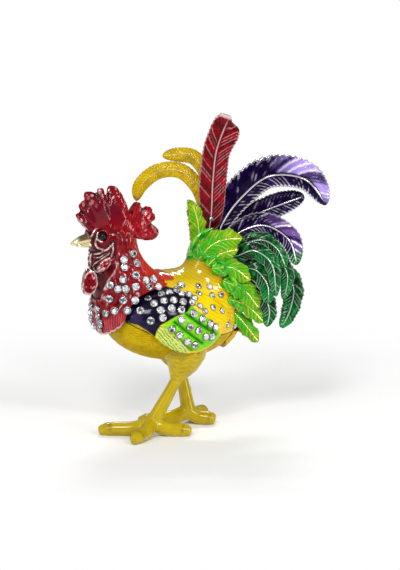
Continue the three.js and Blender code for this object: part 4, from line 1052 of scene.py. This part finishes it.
# legs: bars whose radius runs through given values, joined by a fine remesh that leaves soft fillets
legForm = dict(voxel=0.00028, softenTimes=10, soften=0.6, toeUp=1.5, toeMore=0.7, archUp=2.5, clawUp=2.0,
               clawFrom=0.8, nailFrom=0.8, nailDeep=0.2, nailWide=0.03, nailReach=3.2, nailTop=(1.2, 2.6),
               flare=(-5.2, 1.0, 0.6), thighFrom=(17, 21), intoWall=0.55, farAbove=1000.0)
legTone = dict(ground=0.4, uneven=0.16, carved=1.2, nails=0.4)
legRadii = dict(thigh=[6.4, 6.3, 4.5, 2.3], flare=[4.8, 4.6, 3.6, 2.2],
                shank=[4.4, 2.6, 2.05, 1.9, 2.2, 2.5], spur=[1.6, 1.2],
                toe=[2.6, 2.5, 2.45, 2.4, 2.4, 2.35, 1.8, 1.5])
thighCarving = dict(row=2.6, stroke=1.1, height=0.2)
legSpecs = {
    "left": dict(hip=(0, -7.5, 31), bulge=(-1.4, -8, 25.6), knee=(-4.1, -7, 19.2), ankle=(-12.2, -5.2, 4.4),
                 toes=[(-27.5, 3.4), (-23, -14), (-1.2, -10.8)], spur=(-5.9, -5.0, 10.8)),
    "right": dict(hip=(1.5, 7.5, 31), bulge=(2.2, 8, 25), knee=(3.6, 7, 18.6), ankle=(5.8, 5, 4.4),
                  toes=[(-10.6, 8.6), (13, 0.6), (15, 12.6)], spur=(7.1, 6.2, 12)),
}


# bar: circles across a smooth path, radius smoothed between values, ends rounded where asked
def barRings(path, radii, steps, roundFrom=1.0, columns=28):
    share = 1 - (1 - np.linspace(0, 1, steps)) ** 1.3
    line = smoothLine(path, share)
    forward = unit(np.gradient(line, axis=0))
    across = unit(np.cross(forward, np.array([0.13, 0.97, 0.2])))
    outward = np.cross(across, forward)
    radius = np.interp(share, np.linspace(0, 1, len(radii)), radii)
    past = np.clip((share - roundFrom) / max(1e-6, 1 - roundFrom), 0, 1)
    radius = radius * np.sqrt(1 - 0.98 * past * past)
    around = np.linspace(0, 2 * math.pi, columns, endpoint=False)[None, :, None]
    circle = np.cos(around) * across[:, None] + np.sin(around) * outward[:, None]
    return line[:, None] + radius[:, None, None] * circle


# several grids of rings as one list of points and faces
def joinRings(ringList):
    points, faces, start = [], [], 0
    for rings in ringList:
        rows, columns = rings.shape[:2]
        faces += ringFaces(rows, columns, start)
        points += [rings.reshape(-1, 3), rings[0].mean(0)[None], rings[-1].mean(0)[None]]
        start += rows * columns + 2
    return np.vstack(points), faces


# height of the middle of the bowl's wall over each place, so that no thigh comes through into the hollow
def wallMiddle(points):
    along = (points[:, 0] - eggForm["midX"]) / eggForm["halfLong"]
    side = points[:, 1] / (eggForm["halfWide"] * (1 - eggForm["taper"] * np.clip(along, -1, 1)))
    shrink = legForm["intoWall"] * eggForm["wall"] / eggForm["halfWide"]
    within = (1 - shrink) ** 2 - along**2 - side**2
    deep = eggForm["drop"] * np.sqrt(np.maximum(0, within))
    floorUp = eggForm["level"] - eggForm["rearFall"] * along - deep
    return np.where(within > 0, floorUp, legForm["farAbove"])


flareFade = 0.45
archShare = 0.32
for side, spec in legSpecs.items():
    hip, bulge, knee, ankle = (np.array(spec[key]) for key in ("hip", "bulge", "knee", "ankle"))
    flare = np.array(legForm["flare"])
    bars = [barRings([hip, bulge, knee], legRadii["thigh"], steps=40),
            barRings([hip + flare, bulge + flare * flareFade, knee], legRadii["flare"], steps=40),
            barRings([bulge, knee, ankle], legRadii["shank"], steps=50),
            barRings([(knee + ankle) / 2, spec["spur"]], legRadii["spur"], steps=14, roundFrom=0.7)]
    for x, y in spec["toes"]:
        tip = np.array([x, y, legForm["toeUp"]])
        tip[:2] += legForm["toeMore"] * unit(tip - ankle)[:2]
        arch = ankle + (tip - ankle) * archShare
        clawRoot = ankle + (tip - ankle) * legForm["clawFrom"]
        path = [ankle, (*arch[:2], legForm["archUp"]), (*clawRoot[:2], legForm["clawUp"]), tip]
        bars.append(barRings(path, legRadii["toe"], steps=48, roundFrom=0.93))
    points, faces = joinRings(bars)
    name = f"{side}_leg"
    piece = meshPiece(name, points, faces, {}, "base", finishes["legs"], [name])
    remesh = piece.modifiers.new("fillets", "REMESH")
    remesh.mode = "VOXEL"
    remesh.voxel_size = legForm["voxel"]
    smooth = piece.modifiers.new("soften", "SMOOTH")
    smooth.iterations = legForm["softenTimes"]
    smooth.factor = legForm["soften"]
    bpy.context.view_layer.update()
    fused = bpy.data.meshes.new_from_object(piece.evaluated_get(bpy.context.evaluated_depsgraph_get()))
    piece.modifiers.clear()
    piece.data = fused
    spots = np.zeros(len(fused.vertices) * 3, np.float32)
    fused.vertices.foreach_get("co", spots)
    spots = spots.reshape(-1, 3)
    spots[:, 2] = np.maximum(spots[:, 2], 0)
    fused.vertices.foreach_set("co", spots.ravel())
    fused.polygons.foreach_set("use_smooth", np.ones(len(fused.polygons), bool))
    drawn = drawingOf(spots)
    spots[:, 2] = np.minimum(drawn[:, 2], wallMiddle(drawn)) * millimetre + drawingShift[2]
    drawn = drawingOf(spots)
    thigh = ease(*legForm["thighFrom"], drawn[:, 2])
    carving = plumage(drawn, **thighCarving) * thigh
    nails = np.zeros(len(drawn))
    for x, y in spec["toes"]:
        toe = np.array([x, y, legForm["toeUp"]]) - ankle
        reach = (drawn - ankle) @ toe / (toe @ toe)
        away = np.linalg.norm(drawn - ankle - reach[:, None] * toe, axis=1)
        ahead = reach - legForm["nailFrom"] - 0.02 * wander(drawn, 1.0)
        nails = np.maximum(nails, bell(ahead, legForm["nailWide"]) * (away < legForm["nailReach"]))
    nails = nails * ease(*legForm["nailTop"], drawn[:, 2])
    spots[:, 2] -= millimetre * legForm["nailDeep"] * nails
    spots = spots + millimetre * carving[:, None] * unit((drawn - hip) * np.array([1, 1, 0.2]))
    fused.vertices.foreach_set("co", spots.astype(np.float32).ravel())
    tone = legTone["ground"] + legTone["uneven"] * wander(drawn, 2.4, 1.0)
    tone = tone + legTone["carved"] * carving - legTone["nails"] * nails
    addMarks(fused, {"paint": painted("lemon", tone)})
print("legs made")

# stones: eight-sided brilliants in thin metal cups, set where the photograph shows them (mm right and up)
stoneSpec = dict(sink=0.12, lip=1.16, spin=0.7)
stoneRings = dict(table=(0.52, 0.66), star=(0.8, 0.46), girdle=(1.0, 0.24), back=(0.98, -0.2))
stoneSpots = {
    "hackle": [(-15.3, 58.4), (-18.4, 56.3), (-14.1, 55.2), (-18.2, 53.9), (-14.4, 51.2), (-18.6, 49.8),
               (-11, 49.6), (-8.5, 49.9), (-22.8, 48.1), (-20.2, 46.7), (-17.7, 46.7), (-14.4, 47.4),
               (-23.1, 43.4), (-18.4, 42.9), (-14.6, 42.9), (-21.3, 39.5), (-17.1, 39.6), (-27.1, 40),
               (-24.2, 38.7), (-29.2, 38.9), (-29, 36.6), (-28.2, 34.6), (-26.3, 35.7)],
    "shoulder": [(-9.9, 47.4), (-6.9, 47.4), (-5.9, 44.9), (-3.2, 45.4), (-10.3, 43.3), (-5, 42.7),
                 (-1.8, 42.9), (-8.3, 41.8), (-12.8, 39.5), (-6.1, 39.6), (-2.5, 40.2), (-5.4, 37.1),
                 (-9.4, 36.2), (-0.8, 46.3), (0.7, 48), (0.8, 45), (3.2, 44.8), (1.3, 42.4), (0.7, 39.7),
                 (4.2, 42.2)],
    "wing": [(-2.3, 33.5), (0.8, 36.4), (4.8, 38.6), (7.7, 36.8), (3.6, 34.1), (10.3, 35.2), (12, 34),
             (0.2, 31.4), (6.4, 32.9), (8.8, 30.9), (10.8, 30.8), (2.8, 29.2), (5.2, 28.1)],
    "saddle": [(6.4, 47.6), (10.1, 47.4), (6.6, 45.2), (10.9, 44.5), (13.9, 44.8), (5.2, 43.6), (6.9, 41),
               (8.6, 39.3), (11.2, 40.5), (14.2, 39.4), (16.2, 34.8), (18.4, 34.5)],
    "tail": [(10.6, 70.1)],
}
stoneRadius = dict(hackle=1.2, shoulder=1.2, wing=1.2, saddle=0.98, tail=0.6)


# brilliant: table, star, kite and girdle facets over a flat back, for a unit radius
def brilliant():
    eighth = np.arange(8) * math.pi / 4
    sixteenth = np.arange(16) * math.pi / 8

    def ring(angles, radius, up):
        return np.stack([radius * np.cos(angles), radius * np.sin(angles), np.full(len(angles), up)], -1)

    points = np.vstack([ring(eighth, *stoneRings["table"]), ring(eighth + math.pi / 8, *stoneRings["star"]),
                        ring(sixteenth, *stoneRings["girdle"]), ring(sixteenth, *stoneRings["back"])])
    table, middle, girdle, back = (list(range(*ends)) for ends in ((0, 8), (8, 16), (16, 32), (32, 48)))
    faces = [tuple(table)]
    for k in range(8):
        corner, half, after = girdle[2 * k], girdle[2 * k + 1], girdle[(2 * k + 2) % 16]
        faces += [(table[(k + 1) % 8], table[k], middle[k]), (middle[k - 1], corner, middle[k], table[k]),
                  (corner, half, middle[k]), (half, after, middle[k])]
    faces += [(back[k], back[(k + 1) % 16], girdle[(k + 1) % 16], girdle[k]) for k in range(16)]
    faces.append(tuple(back[::-1]))
    return points, faces


# cup: a low wall round the stone with a turned-in lip, for a unit radius
def stoneCup():
    angles = np.arange(16) * math.pi / 8
    profile = [(0.9, 0.26), (1.02, 0.36), (stoneSpec["lip"], 0.2), (stoneSpec["lip"], -0.45), (0.5, -0.45)]
    points = np.vstack([np.stack([r * np.cos(angles), r * np.sin(angles), np.full(16, z)], -1)
                        for r, z in profile])
    faces = [(16 * row + k, 16 * (row + 1) + k, 16 * (row + 1) + (k + 1) % 16, 16 * row + (k + 1) % 16)
             for row in range(4) for k in range(16)]
    faces += [tuple(range(16)), tuple(64 + 15 - k for k in range(16))]
    return points, faces


# ground under the stones: the near sides of neck, lid and wing
def groundTree(name):
    mesh = made[name].data
    spots = np.zeros(len(mesh.vertices) * 3)
    mesh.vertices.foreach_get("co", spots)
    return BVHTree.FromPolygons(spots.reshape(-1, 3).tolist(), [tuple(p.vertices) for p in mesh.polygons])


bpy.context.view_layer.update()
grounds = [groundTree(name) for name in ("lid_shell", "left_wing", "head_and_hackle", "red_sickle")]
seatSearch = dict(far=200, reach=0.7, together=0.002)


# first hit of a ray from the camera's side, at a picture place
def hitAt(right, up):
    start = Vector(place(right * viewRight + up * viewUp + seatSearch["far"] * viewBack))
    best = None
    for tree in grounds:
        spot, normal, _, far = tree.ray_cast(start, Vector(-viewBack))
        if spot is not None and (best is None or far < best[2]):
            best = (np.array(spot), np.array(normal), far)
    return best


# seat: the hit and the mean direction of five hits close together
def seatAt(right, up):
    reach = seatSearch["reach"]
    around = ((0, 0), (reach, 0), (-reach, 0), (0, reach), (0, -reach))
    hits = [hitAt(right + dx, up + dy) for dx, dy in around]
    hits = [h for h in hits if h is not None]
    if not hits:
        return None
    near = [h for h in hits if abs(h[2] - hits[0][2]) < seatSearch["together"]]
    lean = unit(sum(h[1] * (1 if h[1] @ viewBack > 0 else -1) for h in near))
    return hits[0][0], lean


# turned frame of a seat: two directions across the lean, turned by the spin, and the lean itself
def seatAxes(lean, spin):
    first = unit(np.cross(lean, np.array([0.2, 0.1, 1.0])))
    second = np.cross(lean, first)
    return np.stack([first * math.cos(spin) + second * math.sin(spin),
                     second * math.cos(spin) - first * math.sin(spin), lean])


stoneForm, cupForm = brilliant(), stoneCup()
for zone, spots in stoneSpots.items():
    radius = stoneRadius[zone]
    for sideName, side in sides[:1 if zone == "tail" else 2]:
        stonePoints, stoneFaces, cupPoints, cupFaces, paintedGlints = [], [], [], [], []
        for count, (right, up) in enumerate(spots):
            seat = seatAt(right, up)
            if seat is None:
                continue
            spot, lean = (v * np.array([1, -side, 1]) for v in seat)
            axes = seatAxes(lean, stoneSpec["spin"] * count)
            pair = ((stoneForm, stonePoints, stoneFaces), (cupForm, cupPoints, cupFaces))
            for form, points, faces in pair:
                base = sum(len(p) for p in points)
                points.append(drawingOf(spot) + (form[0] * radius) @ axes + lean * stoneSpec["sink"])
                faces += [tuple(base + k for k in face) for face in form[1]]
            facet = np.arange(len(stoneForm[1]))
            paintedGlints.append(np.mod(np.sin(facet * 7.31 + count * 3.7) * 917.3, 1))  # one painted glint for each facet
        level = np.concatenate(paintedGlints)
        stones = meshPiece(f"{sideName}_{zone}_stones", np.vstack(stonePoints), stoneFaces, {}, "lid",
                           finishes["crystal"], smooth=False)
        layer = stones.data.attributes.new("paintedGlint", "FLOAT", "FACE")
        layer.data.foreach_set("value", level.astype(np.float32))
        meshPiece(f"{sideName}_{zone}_cups", np.vstack(cupPoints), cupFaces, {}, "lid", finishes["silver"])
print("stones set in zones:", ", ".join(stoneSpots))

# rolled lips and scrolls among the green coverts, drawn in the picture and laid on the feathers behind them
curlForm = dict(thick=1.7, root=0.75, tipFrom=0.6, pitch=1.4, relief=0.05, teeth=0.05, quill=0.2,
                quillRise=0.1, dish=0.1, rim=0.8)
curlLay = dict(points=15, window=7, hang=0.3, proud=0.15)
limeCurls = [
    dict(line=[(3.8, 57.6), (4.6, 61.2), (7.1, 64.8), (11.4, 67)], vanes=(0.95, 0.95), nearOnly=True),
    dict(line=[(6.4, 61.6), (7.2, 59), (9.2, 57.4), (11.6, 57.6), (12.8, 56.4)], vanes=(0.8, 0.8),
         nearOnly=True),
    dict(line=[(12.6, 56), (14.4, 55.4), (15.6, 53.6), (14.8, 52), (13.4, 52.4)], vanes=(0.7, 0.7)),
    dict(line=[(16.6, 51), (18.2, 49.8), (19, 47.6), (18.2, 45.6), (17.2, 45)], vanes=(0.8, 0.8)),
    dict(line=[(20.2, 48.2), (21.6, 46), (21.2, 43.8), (20, 42.8)], vanes=(0.7, 0.7)),
    dict(line=[(18.4, 41.6), (20, 41), (20.6, 39.4), (19.4, 38.4)], vanes=(0.7, 0.7)),
]
grounds = [groundTree(name) for name in ["lid_shell"] + [f"left_lime_covert_{k}" for k in range(1, 8)]]
for count, curl in enumerate(limeCurls, 1):
    hits = [hitAt(*spot) for spot in smoothLine(curl["line"], np.linspace(0, 1, curlLay["points"]))]
    spots = np.array([hit[0] for hit in hits if hit is not None])
    depth = (spots - drawingShift) @ viewBack * perMetre
    window = curlLay["window"]
    padded = np.pad(depth, window // 2, mode="edge")
    depth = np.maximum(np.convolve(padded, np.ones(window) / window, "valid"), depth - curlLay["hang"])
    line = drawingOf(spots)
    line = line + (depth - line @ viewBack + curlLay["proud"])[:, None] * viewBack
    for sideName, side in sides[:1 if curl.get("nearOnly") else 2]:
        path = line[::2] * np.array([1, -side, 1])
        face = (nearFace[0], side, nearFace[2])
        rings, m = blade(path, curl["vanes"], face=face, seed=count, **curlForm)
        paint = painted("emerald", 0.5 + 0.5 * m["blot"] + 0.2 * m["share"])
        marks = {"paint": paint, "metal": 0.8 * m["rim"]}
        skin(f"{sideName}_lime_curl_{count}", rings, marks, "lid", finishes["scrolls"])
print("curls laid:", len(limeCurls))

# magnets: turned discs with a small chamfer, ground to the slope of the rims and a hair proud of them
discForm = dict(x=-21.2, radius=2.0, middle=0.4, thick=1.6, chamfer=0.18, proud=0.09, grind=0.88, columns=48)
around = np.linspace(0, 2 * math.pi, discForm["columns"], endpoint=False)
discRims = [(discForm["middle"], 0.0), (discForm["radius"] - discForm["chamfer"], 0.0),
            (discForm["radius"], discForm["chamfer"]), (discForm["radius"], discForm["thick"])]
for name, side, body in (("bowl_magnet", -1, "base"), ("lid_magnet", 1, "lid")):
    rims = []
    for radius, depth in discRims:
        x = discForm["x"] + discForm["grind"] * radius * np.cos(around)
        z = partingHeight(x) + side * (partingGap - discForm["proud"] + depth)
        rims.append(np.stack([x, radius * np.sin(around), z], axis=-1))
    skin(name, np.stack(rims), {}, body, finishes["steel"], [name])

# hinge keeps its solids
hardware = {"bowl_hinge_leaf": "ochre", "lid_hinge_leaf": "ochre", "hinge_pin": "steel"}
for name, finish in hardware.items():
    nodes[name].data.materials.clear()
    nodes[name].data.materials.append(finishes[finish])

# camera at the photograph's angle: a long lens, a little above and to the front of the bird's left side
camera = dict(lens=600.0, film=36.0, pxPerMm=3.0, imageHigh=570.0, aim=(3.5, 0.0, 50.0), right=3.77,
              down=1.05)
aim = np.array(camera["aim"]) + viewRight * camera["right"] - viewUp * camera["down"]
distance = camera["lens"] / camera["film"] * camera["imageHigh"] / camera["pxPerMm"]
lens = bpy.data.cameras.new("photo camera")
lens.lens = camera["lens"]
lens.sensor_fit = "VERTICAL"
lens.sensor_height = camera["film"]
lens.clip_start = 0.01
lens.dof.use_dof = False
eyePoint = bpy.data.objects.new("photo camera", lens)
eyePoint.location = place(aim + viewBack * distance)
eyePoint.rotation_euler = Vector(viewBack).to_track_quat("Z", "Y").to_euler()
bpy.context.scene.collection.objects.link(eyePoint)
bpy.context.scene.camera = eyePoint


# which rays come straight from the camera, and which by mirrors or through glass
def seenRays(tree):
    rays = addNode(tree, "LightPath", {}, {}).outputs
    mirror = addNode(tree, "Math", {}, {0: rays["Is Glossy Ray"], 1: rays["Is Transmission Ray"]},
                     operation="MAXIMUM")
    return rays["Is Camera Ray"], mirror.outputs[0]


# floor: pale paper that keeps the shadow round the feet and runs into the white background farther out
floorSpec = dict(half=1.5, colour=(0.94, 0.94, 0.94), rough=0.9, shine=0.1, fadeFrom=0.06, fadeTo=0.17)
floorMesh = bpy.data.meshes.new("floor")
half = floorSpec["half"]
floorMesh.from_pydata([(-half, -half, 0), (half, -half, 0), (half, half, 0), (-half, half, 0)], [],
                      [(0, 1, 2, 3)])
floor = bpy.data.objects.new("floor", floorMesh)
bpy.context.scene.collection.objects.link(floor)
paper, sheet, paperShader = newMaterial("pale paper")
wire(sheet, paperShader, {"Base Color": (*floorSpec["colour"], 1), "Roughness": floorSpec["rough"],
                          "Specular IOR Level": floorSpec["shine"]}, {})
reach = addNode(sheet, "VectorMath", {}, {0: objectPlace(sheet)}, operation="LENGTH").outputs["Value"]
fade = mapped(sheet, reach, {"From Min": floorSpec["fadeFrom"], "From Max": floorSpec["fadeTo"]},
              interpolation_type="SMOOTHSTEP")
cameraRay, mirrorRay = seenRays(sheet)
seen = addNode(sheet, "Math", {}, {0: cameraRay, 1: mirrorRay}, operation="MAXIMUM").outputs[0]
share = addNode(sheet, "Math", {}, {0: seen, 1: fade}, operation="MULTIPLY").outputs[0]
white = addNode(sheet, "Emission", {}, {}).outputs[0]
mixed = addNode(sheet, "MixShader", {}, {0: share, 1: paperShader.outputs[0], 2: white}).outputs[0]
wire(sheet, sheet.nodes["Material Output"], {}, {"Surface": mixed})
floorMesh.materials.append(paper)

# soft studio light: a key above left, a front lamp, a low fill on the right, a rim behind, a strip at left
lampAim = (0, 0, 0.05)
lamps = {
    "key": dict(at=(-0.42, -0.55, 0.6), size=(0.2, 0.2), power=3.1),
    "front": dict(at=(0.12, -0.75, 0.5), size=(0.12, 0.2), power=2.0),
    "fill": dict(at=(0.48, -0.68, 0.22), size=(0.14, 0.35), power=1.9),
    "rim": dict(at=(0.25, 0.5, 0.6), size=(0.3, 0.07), power=2.2),
    "strip": dict(at=(-0.62, -0.22, 0.3), size=(0.12, 0.5), power=0.9),
}
for name, lamp in lamps.items():
    light = bpy.data.lights.new(name, "AREA")
    light.shape = "RECTANGLE"
    light.size, light.size_y = lamp["size"]
    light.energy = lamp["power"]
    lampPiece = bpy.data.objects.new(name, light)
    lampPiece.location = lamp["at"]
    lampPiece.rotation_euler = (Vector(lamp["at"]) - Vector(lampAim)).to_track_quat("Z", "Y").to_euler()
    bpy.context.scene.collection.objects.link(lampPiece)

# room: white to the camera; mirrors see it brighter overhead than at the level of the bird
room = dict(plain=0.37, mirrorLow=0.12, mirrorHigh=0.6)
world = bpy.data.worlds.new("studio")
bpy.context.scene.world = world
world.use_nodes = True
sky = world.node_tree
direction = addNode(sky, "TexCoord", {}, {}).outputs["Generated"]
upward = addNode(sky, "SeparateXYZ", {}, {0: direction}).outputs["Z"]
overhead = mapped(sky, upward, {"To Min": room["mirrorLow"], "To Max": room["mirrorHigh"]})
cameraRay, mirrorRay = seenRays(sky)
mirrorLevel = addNode(sky, "Mix", {"A": room["plain"]},
                      {"Factor": mirrorRay, "B": overhead}).outputs["Result"]
strength = addNode(sky, "Mix", {"B": 1.0}, {"Factor": cameraRay, "A": mirrorLevel}).outputs["Result"]
wire(sky, sky.nodes["Background"], {"Color": (1, 1, 1, 1)}, {"Strength": strength})
bpy.context.scene.view_settings.view_transform = "Standard"
print("camera, floor and lamps set")
